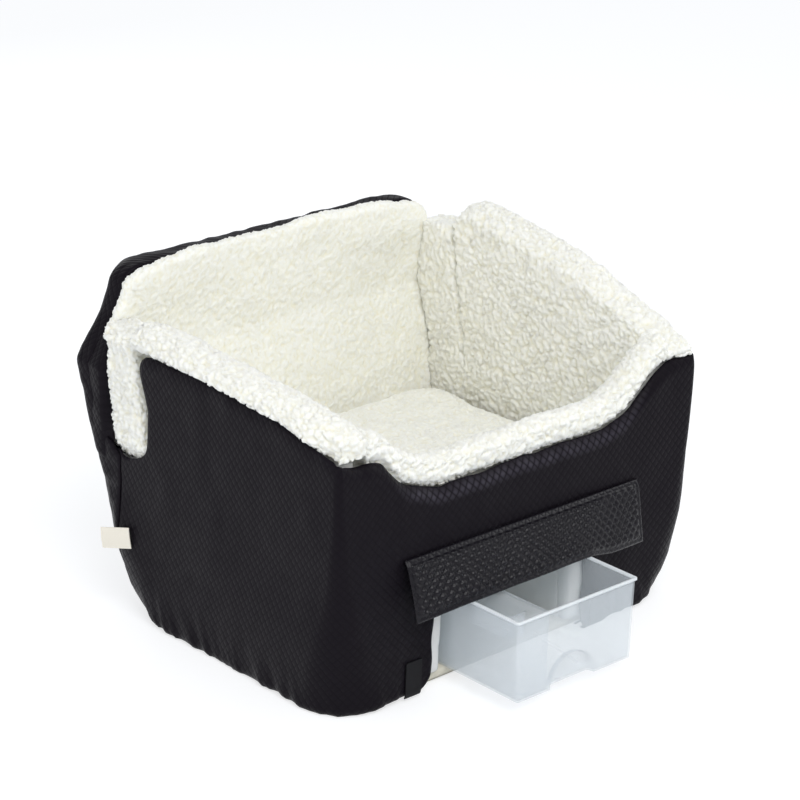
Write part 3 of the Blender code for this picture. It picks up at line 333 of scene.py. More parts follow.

# %% [markdown]
# ## Finishes
#
# Three finishes cover most of the seat. The black cloth is a woven polyester, sewn to a thin
# backing in small diamonds. The dark ground is almost flat, and what the eye reads is the satin
# light on each little puff, so the diamonds are a height pattern for the bump and the roughness,
# set out in metres of cloth in the piece's own UV. The colour also darkens at the stitched lines
# as painted shade, and a band under the front rim gets a painted satin highlight. The same pattern
# serves the cover, the back and the flap, so it is made once, as a node group. The fleece needs
# fine curls on top of its modelled ones, and its creases get painted shade, warm and grey, which
# a second group gives. Foam, plastic and webbing are short materials of their own.

# %% Node groups and Math nodes
def new_group(name, vector, numbers):
    """A node group that takes one named vector and gives named numbers: the group, the vector, the result."""
    group = bpy.data.node_groups.new(name, "ShaderNodeTree")
    group.interface.new_socket(vector, in_out="INPUT", socket_type="NodeSocketVector")
    for label in numbers:
        group.interface.new_socket(label, in_out="OUTPUT", socket_type="NodeSocketFloat")
    return group, group.nodes.new("NodeGroupInput").outputs[0], group.nodes.new("NodeGroupOutput").inputs


def math_node(tree, operation, first, second=0.0, clamp=False):
    """One Math node. Each operand is a number or another node's output."""
    node = tree.nodes.new("ShaderNodeMath")
    node.operation = operation
    node.use_clamp = clamp
    for socket, value in zip(node.inputs, (first, second)):
        if isinstance(value, (int, float)):
            socket.default_value = value
        else:
            tree.links.new(value, socket)
    return node.outputs[0]


def add(tree, first, second, clamp=False):
    """The sum of two values."""
    return math_node(tree, "ADD", first, second, clamp)


def less(tree, first, second, clamp=False):
    """The first value less the second."""
    return math_node(tree, "SUBTRACT", first, second, clamp)


def times(tree, first, second, clamp=False):
    """The product of two values."""
    return math_node(tree, "MULTIPLY", first, second, clamp)


print("sums are written with", add.__name__ + ",", less.__name__, "and", times.__name__)


# %% Patterns, colours and materials
def noise_node(tree, vector, scale, detail=2.0):
    """One Noise Texture, giving its value from 0 to 1."""
    node = tree.nodes.new("ShaderNodeTexNoise")
    node.inputs["Scale"].default_value = scale
    node.inputs["Detail"].default_value = detail
    tree.links.new(vector, node.inputs["Vector"])
    return node.outputs[0]


def mix_color(tree, factor, first, second):
    """One colour between two, by a factor. The first may be another node's output."""
    node = tree.nodes.new("ShaderNodeMix")
    node.data_type = "RGBA"
    tree.links.new(factor, node.inputs[0])
    if isinstance(first, tuple):
        node.inputs[6].default_value = (*first, 1.0)
    else:
        tree.links.new(first, node.inputs[6])
    node.inputs[7].default_value = (*second, 1.0)
    return node.outputs[2]


def object_place(tree):
    """Places in the object's own metres, which don't change when its body moves."""
    return tree.nodes.new("ShaderNodeTexCoord").outputs["Object"]


def point_value(tree, name):
    """The number that the piece's points keep under a name, or 0 where there is none."""
    node = tree.nodes.new("ShaderNodeAttribute")
    node.attribute_name = name
    return node.outputs["Fac"]


def group_node(tree, group, vector):
    """A group placed in a material and fed one vector. Gives its outputs."""
    node = tree.nodes.new("ShaderNodeGroup")
    node.node_tree = group
    tree.links.new(vector, node.inputs[0])
    return node.outputs


def new_material(name, roughness, **sockets):
    """A material with its Principled shader. Plain numbers go on the shader's own sockets."""
    material = bpy.data.materials.new(name)
    material.use_nodes = True
    shader = material.node_tree.nodes["Principled BSDF"]
    shader.inputs["Roughness"].default_value = roughness
    for label, value in sockets.items():
        shader.inputs[label.replace("_", " ")].default_value = value
    return material, material.node_tree, shader


def bump(tree, shader, height, strength, distance):
    """Feeds a height through a Bump node into the shader's normal."""
    node = tree.nodes.new("ShaderNodeBump")
    node.inputs["Strength"].default_value = strength
    node.inputs["Distance"].default_value = distance
    tree.links.new(height, node.inputs["Height"])
    tree.links.new(node.outputs[0], shader.inputs["Normal"])


print("a finish starts from", new_material.__name__)

# %% The quilted diamonds
diamond_pitch = 0.0108
diamond_slope = 0.92
line_height = 0.16


def make_quilt_group():
    """Height of the diamonds: one over the middle of each, falling with a power of the distance to its
    two stitched lines, which run at u + v and u - v in whole pitches. A slow noise bends the lines."""
    group, cloth, result = new_group("quilted_diamonds", "Cloth", ("Height", "Line"))
    split = group.nodes.new("ShaderNodeSeparateXYZ")
    group.links.new(cloth, split.inputs[0])
    sway = times(group, noise_node(group, cloth, 22.0), 0.35)
    ridges = []
    for direction in (add, less):
        across = direction(group, split.outputs[0], times(group, split.outputs[1], diamond_slope))
        turns = add(group, times(group, across, 1.0 / diamond_pitch), sway)
        away = math_node(group, "ABSOLUTE", less(group, math_node(group, "FRACT", turns), 0.5))
        ridges.append(less(group, 1.0, math_node(group, "POWER", times(group, away, 2.0), 3.0)))
    height = times(group, *ridges)
    group.links.new(height, result[0])
    group.links.new(math_node(group, "LESS_THAN", height, line_height), result[1])
    return group


quilt_group = make_quilt_group()
print("diamonds", diamond_pitch * 1000.0, "mm from line to line")


# %% Black quilted cloth
# Pale tone of the painted satin highlight under the front rim.
painted_satin_highlight_tone = (0.080, 0.074, 0.094)


def make_quilt_material(name, depth, gloss, rough, light):
    """Black cloth: the diamonds and a fine weave as bump, and satin puffs between rougher lines, where
    the colour is darker as painted shade in the stitched grooves.

    Where the points carry the highlight mask, in a band under the front rim, the puffs are painted
    paler: a painted satin highlight."""
    material, tree, shader = new_material(name, rough, Specular_IOR_Level=gloss)
    cloth = tree.nodes.new("ShaderNodeUVMap")
    cloth.uv_map = "cloth"
    cloth = cloth.outputs[0]
    puff, line = group_node(tree, quilt_group, cloth)
    weave = noise_node(tree, cloth, 900.0, 1.0)
    bump(tree, shader, add(tree, puff, times(tree, weave, 0.16)), 0.85, depth)
    patchy = noise_node(tree, cloth, 60.0, 3.0)
    satin = less(tree, rough, times(tree, patchy, 0.5 * rough))
    tree.links.new(add(tree, satin, times(tree, line, 0.2)), shader.inputs["Roughness"])
    # Painted shade: the colour darkens towards the stitched lines, where the puffs dip, and varies at random over the
    # puffs.
    dark = tuple(0.82 * value for value in light)
    plain = mix_color(tree, times(tree, puff, add(tree, patchy, 0.35), True), dark, light)
    # Painted satin highlight: the marked band's puffs are mixed towards a pale tone.
    shine = times(tree, point_value(tree, "painted_highlight"), times(tree, puff, patchy), True)
    tree.links.new(mix_color(tree, shine, plain, painted_satin_highlight_tone), shader.inputs["Base Color"])
    return material


black_cloth = make_quilt_material("black_quilted_cloth", 0.0004, 0.06, 0.52, (0.0080, 0.0062, 0.0092))
flap_cloth = make_quilt_material("flap_quilted_cloth", 0.0003, 0.25, 0.36, (0.0056, 0.0046, 0.0078))
print("cloth", black_cloth.name, "and", flap_cloth.name)


# %% Cream fleece
def make_curl_group():
    """Fine wool on top of the modelled curls: twisted cells a few millimetres across, and a crease mask for painted
    shade.
    """
    group, place, result = new_group("fleece_curls", "Place", ("Height", "Crease"))
    twist = group.nodes.new("ShaderNodeTexNoise")
    twist.inputs["Scale"].default_value = 170.0
    group.links.new(place, twist.inputs["Vector"])
    bend = group.nodes.new("ShaderNodeVectorMath")
    bend.operation = "MULTIPLY_ADD"
    bend.inputs[1].default_value = (0.0045, 0.0045, 0.0045)
    group.links.new(twist.outputs["Color"], bend.inputs[0])
    group.links.new(place, bend.inputs[2])
    cells = group.nodes.new("ShaderNodeTexVoronoi")
    cells.feature = "SMOOTH_F1"
    cells.inputs["Scale"].default_value = 260.0
    cells.inputs["Smoothness"].default_value = 0.35
    group.links.new(bend.outputs[0], cells.inputs["Vector"])
    away = cells.outputs["Distance"]
    fibre = times(group, noise_node(group, place, 1400.0), 0.35)
    group.links.new(add(group, less(group, 1.0, away), fibre), result[0])
    group.links.new(less(group, times(group, away, 1.5), 0.45, True), result[1])
    return group


def make_fleece_material():
    """Cream wool: pale on the crowns, with painted shade, warmer and darker, where the modelled and the fine curls
    meet.
    """
    material, tree, shader = new_material(
        "cream_curly_fleece", 0.92, Sheen_Weight=0.20, Sheen_Roughness=0.6, Specular_IOR_Level=0.1,
        Subsurface_Weight=0.40, Subsurface_Radius=(1.0, 0.97, 0.9), Subsurface_Scale=0.008,
    )
    height, crease = group_node(tree, curl_group, object_place(tree))
    bump(tree, shader, height, 0.45, 0.0009)
    # Painted shade: low pile and fine creases mix the cream towards a warmer, darker tone.
    low = less(tree, 0.75, point_value(tree, "pile"), True)
    painted_crease_shade = add(tree, times(tree, low, 0.85), times(tree, crease, 0.35), True)
    tree.links.new(mix_color(tree, painted_crease_shade, (0.970, 0.970, 0.905), (0.89, 0.845, 0.67)), shader.inputs["Base Color"])
    return material


curl_group = make_curl_group()
cream_fleece = make_fleece_material()
print("fleece", cream_fleece.name)


# %% Foam, tape, label and elastic
def make_speckled(name, dark, light, scale, roughness, depth, **sockets):
    """A plain finish with a fine grain: noise mixes two near colours and lifts the bump."""
    material, tree, shader = new_material(name, roughness, **sockets)
    grain = noise_node(tree, object_place(tree), scale, 4.0)
    tree.links.new(mix_color(tree, grain, dark, light), shader.inputs["Base Color"])
    bump(tree, shader, grain, 0.5, depth)
    return material


white_foam = make_speckled("white_foam", (0.80, 0.79, 0.76), (0.90, 0.90, 0.88), 900.0, 0.85, 0.0004)
cream_foam = make_speckled("cream_foam", (0.70, 0.66, 0.54), (0.82, 0.78, 0.66), 700.0, 0.85, 0.0005)
hook_tape = make_speckled(
    "black_hook_tape", (0.003, 0.003, 0.0035), (0.010, 0.0095, 0.012), 1600.0, 0.7, 0.0006, Specular_IOR_Level=0.2
)
label_cloth = make_speckled("cream_woven_label", (0.84, 0.78, 0.66), (0.92, 0.88, 0.78), 1500.0, 0.8, 0.0002)
elastic = make_speckled("black_elastic", (0.008, 0.008, 0.009), (0.020, 0.019, 0.022), 1200.0, 0.7, 0.0004)
print("materials so far", len(bpy.data.materials))


# %% Webbing and plastic
def make_webbing():
    """Woven strap: ribs across it and cords along it, from sines of the height and of x."""
    material, tree, shader = new_material("black_webbing", 0.6, Sheen_Weight=0.15)
    place = object_place(tree)
    split = tree.nodes.new("ShaderNodeSeparateXYZ")
    tree.links.new(place, split.inputs[0])
    ribs = math_node(tree, "SINE", times(tree, split.outputs[2], 3600.0))
    cords = math_node(tree, "SINE", times(tree, split.outputs[0], 2400.0))
    bump(tree, shader, add(tree, ribs, cords), 0.5, 0.0005)
    tone = noise_node(tree, place, 300.0)
    tree.links.new(mix_color(tree, tone, (0.008, 0.008, 0.009), (0.022, 0.021, 0.024)), shader.inputs["Base Color"])
    return material


def make_plastic(name, alpha, glow, dark, light):
    """Cloudy polypropylene, bluish white: a milky film that lets part of the light straight through.

    Its two skins each hide a share, and a faint glow stands for the light that wanders inside them."""
    material, tree, shader = new_material(
        name, 0.28, Alpha=alpha, IOR=1.48, Specular_IOR_Level=0.6,
        Emission_Strength=glow, Emission_Color=(0.84, 0.93, 1.0, 1.0),
    )
    cloud = noise_node(tree, object_place(tree), 14.0)
    tree.links.new(mix_color(tree, cloud, dark, light), shader.inputs["Base Color"])
    tree.links.new(add(tree, times(tree, cloud, 0.16), 0.20), shader.inputs["Roughness"])
    return material


webbing = make_webbing()
drawer_plastic = make_plastic("clear_drawer_plastic", 0.27, 0.06, (0.79, 0.85, 0.89), (0.86, 0.90, 0.93))
lip_plastic = make_plastic("clear_drawer_lip", 0.72, 0.06, (0.84, 0.88, 0.91), (0.91, 0.94, 0.96))
print("materials", len(bpy.data.materials))

# %% [markdown]
# ## The fitted cover
#
# The cover is one strip of quilted cloth that runs from the left wall's rear edge round the front to
# the right wall's, stretched over the foam. Near the rim its corners are sharp, and near the ground
# they swell to a wide round, and the whole strip is drawn in a little at the foot. Box modelling
# would fight that change of corner, so the strip is worked out instead: for a height and a share of
# the way round, the plan of the seat at that height says where the cloth is. The top edge follows
# three measured curves, the scoop in front and the two bowed side rims. Above the gussets' feet the
# strip is shorter, so its last columns stop there, and the drawer's opening is a mask of quads.

# %% The seat's plan
half_width = 0.284
face_y = 0.2585
side_run = 0.389
corner_rim = 0.326
corner_way = (0.757, 0.654)


def drawn_in(z):
    """How far the foot is drawn in, 1 at the ground: e to the minus of (z / 150 mm) to the power 1.6."""
    return np.exp(-((np.maximum(z, 0.0) / 0.150) ** 1.6))


def plan_at(z):
    """Half width, y of the front face and radius of the front corners at height z."""
    drawn = drawn_in(z)
    return half_width - 0.003 * drawn, -face_y + 0.0137 * drawn, 0.006 + 0.062 * drawn


def rear_inset(y, z):
    """How far the wall has turned in at y towards the rear corner, whose radius shrinks with height.

    The corner starts one radius ahead of the rear face, and the inset is the radius less the root of
    its square less the square of the way into the corner."""
    rear = face_y - 0.045 * (1.0 - (np.minimum(z, 0.320) / 0.320) ** 2.0)
    radius = 0.015 + 0.105 * bell(z, 0.150)
    into = np.clip(y - (rear - radius), 0.0, 0.95 * radius)
    return radius - np.sqrt(radius**2.0 - into**2.0)


def corner_swell(points):
    """How the cloth bellies at three corners near the ground and turns under below that, as a shift.

    The amount at each height is measured, and fades with the distance from the corner's diagonal."""
    x, y, z = np.moveaxis(points, -1, 0)
    across, along = corner_way
    heights = [0.0, 0.006, 0.012, 0.02, 0.03, 0.04, 0.06, 0.08, 0.10, 0.12, 0.14, 0.17, 0.20]
    at_rear = [-20.0, -14.5, -9.0, -1.0, 6.0, 10.0, 12.5, 13.0, 11.0, 8.0, 5.0, 1.0, 0.0]
    at_front = [-15.0, -9.4, -6.7, -3.5, 0.0, 4.0, 7.7, 8.0, 8.2, 8.3, 7.0, 4.0, 2.0]
    rear = np.interp(z, heights, at_rear) * bell(across * y - along * np.abs(x) + 0.0385, 0.045) * ease(y, 0.0, 0.05)
    front = np.interp(z, heights, at_front) * bell(across * y + along * x + 0.0046, 0.050)
    front = front * ease(y, 0.0, -0.05) * ease(x, 0.0, 0.05)
    return 0.001 * joined(across * (np.sign(x) * rear + front), along * (rear - front), 0.0)


print("half width at the ground", round(float(plan_at(0.0)[0]), 4), "m")


# %% The walls' ends and rims
def wall_end(z, side):
    """y of a side wall's rear edge beside the gusset. The left one bows forwards halfway up."""
    left = np.interp(
        z,
        [0.2155, 0.2175, 0.2198, 0.2257, 0.230, 0.2362, 0.246, 0.266, 0.291, 0.309, 0.333, 0.346, 0.356, 0.361],
        [0.144, 0.136, 0.1292, 0.1164, 0.1105, 0.1055, 0.1025, 0.1007, 0.0985, 0.1035, 0.1115, 0.1115, 0.108, 0.100],
    )
    right = 0.1065 + 0.018 * np.clip((z - 0.2155) / 0.1445, 0.0, 1.0)
    return np.where(side < 0.0, left, right)


def side_share(y):
    """How far back y is along a side's rim, from 0 at the front corner to 1 at the gusset."""
    return within((y + face_y) / side_run)


def side_rim(y, side):
    """Height of a side wall's top edge, which rises from the front corner and levels off: by the cube of
    the run that is left on the left side, and by its power 1.4 on the right."""
    left = corner_rim + 0.034 * (1.0 - (1.0 - side_share(y)) ** 3.0)
    right = corner_rim + 0.072 * (1.0 - (1.0 - side_share(y)) ** 1.4)
    return np.where(side < 0.0, left, right)


def front_rim(x):
    """Height of the scooped front edge, drawn smoothly through the heights measured across it."""
    across = [-272.0, -259.0, -248.0, -236.0, -225.0, -213.0, -201.3, -189.5, -177.6, -165.7, -153.7, -141.6]
    height = [324.7, 320.5, 317.6, 318.0, 316.8, 312.6, 297.5, 283.5, 276.8, 272.2, 268.1, 264.5]
    across += [-129.0, -80.0, 0.0, 90.0, 126.6, 140.1, 153.5, 166.9, 180.3, 193.4, 206.6, 220.0, 233.6, 247.2, 272.0]
    height += [261.8, 262.2, 263.2, 263.6, 263.8, 265.5, 268.8, 273.2, 281.2, 295.0]
    height += [307.0, 316.5, 323.5, 328.0, 326.2]
    fine = np.linspace(-half_width, half_width, 285)
    rough = np.interp(1000.0 * fine, across, height) / 1000.0
    kernel = np.hanning(9)
    padded = np.pad(rough, len(kernel) // 2, mode="edge")
    return np.interp(x, fine, np.convolve(padded, kernel / kernel.sum(), mode="valid"))


print("scoop down to", round(float(front_rim(-0.1)), 4), "m")


# %% The strip's columns
# The drawer's opening, the seams and the gussets, then the strip's nine stretches from the left end
# round the front to the right end, each with its count of columns.
notch_low, notch_high, notch_top = -0.1380, 0.1070, 0.1500
seam_y, hidden_end_y = 0.1690, 0.2050
gusset_foot = 0.2155
left_end, left_wall, left_corner, front_left, over_opening = range(5)
front_right, right_corner, right_wall, right_end = range(5, 9)
columns = (26, 84, 14, 34, 60, 40, 14, 84, 26)


def stations():
    """The columns of the strip: for each, the stretch of the plan that it is in, and its share along that."""
    steps = [np.linspace(0.0, 1.0, count + 1)[:-1] for count in columns]
    steps[-1] = np.append(steps[-1], 1.0)
    stretch = [np.full(len(step), number) for number, step in enumerate(steps)]
    return np.concatenate(stretch), np.concatenate(steps)


print("columns", len(stations()[0]))


# %% Where the cloth lies
def along_plan(z, stretch, share):
    """Place, outward direction and cloth coordinate of the strip at height z.

    Walls and front are straight lines between named ends, and the corners are quarter circles of
    the plan's radius. The cloth coordinate is the length along the strip from the front's middle."""
    half, front, radius = plan_at(z)
    place, outward, length = np.zeros(z.shape + (3,)), np.zeros(z.shape + (3,)), np.zeros(z.shape)
    place[..., 2] = z

    def lay(number, x, y, out_x, out_y, run):
        """Writes one stretch's places, directions and cloth coordinates."""
        mine = np.broadcast_to(stretch == number, z.shape)
        targets = (place[..., 0], place[..., 1], outward[..., 0], outward[..., 1], length)
        for target, values in zip(targets, (x, y, out_x, out_y, run)):
            np.copyto(target, values, where=mine)

    left, right, quarter = wall_end(z, -1.0), wall_end(z, 1.0), radius * math.pi / 2.0
    walls = {
        left_end: (-1.0, hidden_end_y, left),
        left_wall: (-1.0, left, front + radius),
        right_wall: (1.0, front + radius, right),
        right_end: (1.0, right, hidden_end_y),
    }
    for number, (side, begin, end) in walls.items():
        y = begin + (end - begin) * share
        run = half - radius + quarter + y - front - radius
        lay(number, side * (half - rear_inset(y, z)), y, side, 0.0, side * run)
    for number, side in ((left_corner, -1.0), (right_corner, 1.0)):
        turn = (share if side > 0.0 else 1.0 - share) * math.pi / 2.0
        x, y = side * (half - radius + radius * np.sin(turn)), front + radius - radius * np.cos(turn)
        lay(number, x, y, side * np.sin(turn), -np.cos(turn), side * (half - radius + radius * turn))
    flared = 0.012 * bell(z, 0.012) + 0.0012 * np.sin(z / 0.009)
    marks = (radius - half, notch_low - flared, notch_high + flared, half - radius)
    for number, begin, end in zip((front_left, over_opening, front_right), marks, marks[1:]):
        x = begin + (end - begin) * share
        lay(number, x, front, 0.0, -1.0, x)
    return place, outward, length


over_drawer = along_plan(np.array([0.10]), np.array([over_opening]), np.array([0.5]))[0]
print("the cloth's plan in the middle of the opening", over_drawer.round(4))


# %% How high the cloth reaches
rows_to_notch_top, rows_to_gusset, rows_to_rim = 39, 14, 30
low_wall_end = 0.144


def strip_heights(stretch, share):
    """Heights of the rows at every column: evenly to the opening's top, to the gusset's foot, to the rim.

    The walls' rims turn down in a round of 10 mm by the gusset, and past the gusset the rows climb to
    close its foot."""
    place, outward, length = along_plan(np.full(stretch.shape, 0.33), stretch, share)
    side = np.where(stretch < over_opening, -1.0, 1.0)
    on_side = np.isin(stretch, (left_end, left_wall, right_wall, right_end))
    rim = np.where(on_side, side_rim(place[:, 1], side), front_rim(place[:, 0]))
    rim = np.where(np.isin(stretch, (left_corner, right_corner)), corner_rim, rim)
    corner = within((wall_end(np.full(stretch.shape, 0.352), side) - place[:, 1]) / 0.010)
    turned_down = 0.008 * (1.0 - np.sqrt(1.0 - (1.0 - corner) ** 2.0))
    rim = np.where(np.isin(stretch, (left_wall, right_wall)), rim - turned_down, rim)
    rim = rim + 0.0011 * soft_noise(joined(length, 0.0, 0.0), 0.022, 5)

    def steps(count):
        """Shares from 0 to 1, one row each."""
        return np.linspace(0.0, 1.0, count + 1)[:, None]

    foot = notch_top * steps(rows_to_notch_top) + 0.0 * rim
    middle = notch_top + (gusset_foot - notch_top) * steps(rows_to_gusset)[1:] + 0.0 * rim
    upper = gusset_foot + (rim - gusset_foot) * steps(rows_to_rim)[1:]
    heights = np.concatenate([foot, middle, upper])
    behind = np.where(stretch == left_end, 1.0 - share, np.where(stretch == right_end, share, 0.0))
    to_seam = within(behind * (hidden_end_y - low_wall_end) / (seam_y - low_wall_end))
    raised = (heights - notch_top) / (gusset_foot - notch_top) * 0.0045 * to_seam**3.0
    return heights + np.where(heights > notch_top, raised, 0.0), rim


print("rows", rows_to_notch_top + rows_to_gusset + rows_to_rim + 1)


# %% Folds in the cloth
ground_gap = 0.0006
gather_height = 0.0030
patch_middles = (-0.165, 0.134)


def fold_height(place, length, z, rim):
    """How far the cloth stands off its plan, in metres: slow dents, short wrinkles, gathers at the hem.

    The gathers are noise stretched upwards, which fades with a bell of 33 mm above the ground, and
    lies flat behind the hook patches. Dents grow towards the foot, where the cloth is slack."""
    flat = joined(length, z, 0.0)
    slow = soft_noise(flat, 0.085, 11) * (0.0008 + 0.0016 * drawn_in(z))
    short = soft_noise(flat * np.array([1.0, 0.6, 1.0]), 0.030, 12) * 0.0005
    lean = joined(length + 0.35 * z, 0.12 * z, 0.0)
    gather = soft_noise(lean, 0.0125, 13) + 0.6 * soft_noise(lean, 0.0065, 14)
    gather = gather_height * np.maximum(gather, -0.7) * bell(z, 0.033)
    rim_wave = soft_noise(flat, 0.018, 15) * bell(rim - z, 0.012) * 0.0012
    to_patch = np.min([np.abs(place[..., 0] - middle) for middle in patch_middles], axis=0)
    flat_here = ease(to_patch, 0.026, -0.012) * (place[..., 1] < -0.2)
    return (slow + short + gather) * (1.0 - 0.9 * flat_here) + rim_wave


print("gathers of", 1000.0 * gather_height, "mm")


# %% The cover
def make_cover():
    """The strip as a grid, pushed out by its folds, leaned in at the rim and rolled under at the hem."""
    stretch, share = stations()
    z, rim = strip_heights(stretch, share)
    stretch, share = np.broadcast_to(stretch, z.shape), np.broadcast_to(share, z.shape)
    place, outward, length = along_plan(z, stretch, share)
    from_middle = np.abs(place[..., 0])
    on_front = within(-outward[..., 1])
    near_rim = within(1.0 - (rim - z) / 0.017)
    lean = (0.0022 + 0.0068 * on_front * ease(from_middle, 0.278, -0.035)) * near_rim**2.0
    roll = within(1.0 - z / 0.012)
    under = 0.012 * (1.0 - np.sqrt(1.0 - (0.98 * roll) ** 2.0))
    under = under + 0.0030 * ease(place[..., 1], seam_y - 0.011, 0.013)
    # A band about 10 mm under the front rim, across the middle of the front, is marked for a painted satin highlight.
    painted_highlight = within(1.0 - np.abs(rim - z - 0.010) / 0.011) * on_front * ease(from_middle, 0.215, -0.06)
    place = place + outward * (fold_height(place, length, z, rim) - lean - under)[..., None]
    slack = 0.0035 * bell(z - 0.004, 0.02) * soft_noise(joined(length, 0.0, 0.0), 0.09, 21)
    place[..., 2] = np.maximum(place[..., 2] + slack * (z < 0.06), ground_gap)
    column, row = stretch[:-1, :-1], np.arange(z.shape[0] - 1)[:, None]
    in_opening = (column == over_opening) & (row < rows_to_notch_top)
    past_gusset = np.isin(column, (left_end, right_end)) & (row >= rows_to_notch_top + rows_to_gusset)
    uv = joined(length, z)
    made = surface("cover_cloth", place + corner_swell(place), black_cloth, uv, ~in_opening & ~past_gusset, painted_highlight)
    thicken(made)
    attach(made, "seat")
    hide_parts("cover_left", "cover_front", "cover_right")
    return made


cover = make_cover()
print("cover", len(cover.data.polygons), "quads")

# %% [markdown]
# ## The back
#
# The back is a thick foam panel that leans, with cut shoulders, and its cover wraps over all its
# edges. Its solid already has that form, so copies of the foam and its cover are given one even
# skin of small quads, which is then relaxed so that the edges go soft, and dented like cloth over
# foam. The cloth coordinate runs round the side edge, so that the diamonds don't stop there.

# %% Back panel
def cloth_uv(points):
    """Cloth coordinates round the back: across, x plus the way forwards from the rear face; up, z."""
    x, y, z = np.moveaxis(points, -1, 0)
    return joined(np.sign(x) * (np.abs(x) + face_y - y), z)


def make_back():
    """Skin round the back's foam and cover, relaxed, then moved along its normals by folds.

    The folds are small all over, crisper at the top and side edges, and upright at the hem."""
    made = voxel_copy("back_cloth", ("cover_back", "foam_back"), 0.0034, black_cloth, 0.0011)
    relax(made.data, 3)
    points = points_of(made.data)
    edge = within(within((points[:, 2] - 0.40) / 0.03) + within((np.abs(points[:, 0]) - 0.255) / 0.02))
    folds = 0.0009 * soft_noise(points, 0.060, 31)
    folds = folds + 0.0006 * soft_noise(points * np.array([1.0, 1.0, 0.5]), 0.020, 32)
    folds = folds + 0.0012 * edge * soft_noise(points, 0.014, 33)
    gathers = soft_noise(points * np.array([1.0, 1.0, 0.2]), 0.012, 34)
    folds = folds + 0.0018 * bell(points[:, 2], 0.028) * gathers
    points = points + normals_of(made.data) * (folds - 0.0004)[:, None]
    points = points + corner_swell(points)
    points[:, 2] = np.maximum(points[:, 2] - 0.006 * bell(points[:, 2], 0.016), ground_gap)
    move_points(made.data, points)
    set_uv(made.data, cloth_uv(points))
    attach(made, "seat")
    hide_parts("cover_back", "foam_back")
    return made


back = make_back()
print("back", len(back.data.polygons), "quads")

# %% The back cover's folds beside the gussets
fold_low, fold_high = 0.190, 0.372


def make_wrap(name, side):
    """The fold of black cloth that the back's cover makes beside the gusset: a strip that rises along the
    back's side edge, swells a little, and turns inwards ahead of it, under the edge of the fleece.

    Swell and turn fade at both ends, and the strip follows the back's cut shoulder above 317 mm."""
    up, turn = np.meshgrid(np.linspace(fold_low, fold_high, 64), np.linspace(0.0, 1.0, 15), indexing="ij")
    half = half_width - 0.60 * np.clip(up - 0.317, 0.0, 0.055)
    ends = ease(up, fold_low, 0.02) * ease(up, fold_high + 0.002, -0.03)
    swell = 0.0022 * np.sin(math.pi * turn) * ends + 0.0008 * soft_noise(joined(turn * 0.04, up, 0.0), 0.02, 41)
    tuck = ease(turn, 0.62, 0.38) * (0.004 + 0.010 * ease(up, 0.235, 0.03) * ease(up, fold_high, -0.03))
    y = 0.2240 - 0.0440 * turn
    out = half - 0.0006 + swell - tuck - 0.004 * (1.0 - ends) - rear_inset(y, up)
    place = joined(side * out, y, up)
    place = place if side < 0.0 else place[:, ::-1]
    made = surface(name, place, black_cloth, cloth_uv(place))
    thicken(made)
    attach(made, "seat")
    return made


folds = [make_wrap("back_cloth_fold_left", -1.0), make_wrap("back_cloth_fold_right", 1.0)]
print("folds", [len(fold.data.polygons) for fold in folds], "quads")

# %% [markdown]
# ## The foam walls
#
# The foam walls are hidden but for their bare edges beside the drawer's opening. Their solids are
# square along the top, where the cover now leans inwards over them, so they get relaxed copies
# whose top edge is pared down, as a real foam edge is crushed under stretched cloth.

# %% Foam walls
def make_foam(node):
    """A soft-edged copy of one foam wall, held 10 mm under the rim and clear of the wall's rear edge."""
    made = voxel_copy(node + "_soft", (node,), 0.0045, white_foam)
    relax(made.data, 1)
    x, y, z = points_of(made.data).T
    rim = front_rim(x) if node == "foam_front" else side_rim(y, x)
    top = ease(z - rim, -0.045, 0.025)
    out = np.minimum(np.abs(x), half_width - 0.011 * top)
    out = np.minimum(out, 0.2795 - 0.010 * ease(y, 0.125, 0.03))
    y = np.maximum(y, -face_y + 0.017 * top)
    z = np.minimum(z, rim - 0.010)
    y = np.where(z > gusset_foot - 0.004, np.minimum(y, wall_end(z, x) - 0.006), y)
    move_points(made.data, joined(np.sign(x) * out, y, z))
    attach(made, "seat")
    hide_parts(node)
    print(made.name, len(made.data.polygons), "quads")
    return made


for node in ("foam_left", "foam_right", "foam_front"):
    make_foam(node)

# %% [markdown]
# ## The fleece lining
#
# The lining is curly fleece over a thin wadding. It covers the inside of the walls, rolls over
# their tops as a fat bead, and fills the gaps beside the back as a narrow strip, the gusset. Hair
# particles would be slow and would not travel with the model, so the curls are modelled: each run
# of lining becomes one even skin, which is pressed back behind the crisp edge of the black cover,
# and then every point moves along its normal by the height of the curl that it lies in. Wool
# clumps at two sizes, so a coarse and a fine field of tufts are added, twisted by noise to look
# less like cells. The height is kept on the points as "pile", for the painted shade in the
# material's creases.

# %% Curls
def twisted(points, size, amount, seed):
    """The points shifted by noise in each direction, so that a pattern laid on them looks combed about."""
    return points + amount * joined(*(soft_noise(points, size, seed + axis) for axis in range(3)))


def curl(made, size, depth, seed, stretch=(1.0, 1.0, 1.0)):
    """Pushes a fleece skin out into curls: lumps of the wadding, coarse tufts, and half-size tufts."""
    points = points_of(made.data)
    laid = twisted(points / np.array(stretch), size * 1.4, size * 0.55, seed)
    coarse = tufts(laid, size, seed + 10)
    fine = tufts(twisted(points, size, size * 0.3, seed + 20), size * 0.52, seed + 30)
    lumps = soft_noise(points, 0.050, seed + 40) * 0.0024 + soft_noise(points, 0.020, seed + 50) * 0.0013
    pile = 0.68 * coarse + 0.32 * fine
    move_points(made.data, points + normals_of(made.data) * (depth * (pile - 0.55) + lumps)[:, None])
    keep_on_points(made.data, "pile", pile)
    return pile


def press_behind(value, limit, softness):
    """Values below the limit come up to it, and those just above move on a little: a soft maximum."""
    return limit + softness * np.logaddexp(0.0, (value - limit) / softness)


print("values from -1 to 1 pressed behind 0:", press_behind(np.linspace(-1.0, 1.0, 5), 0.0, 0.1).round(3))


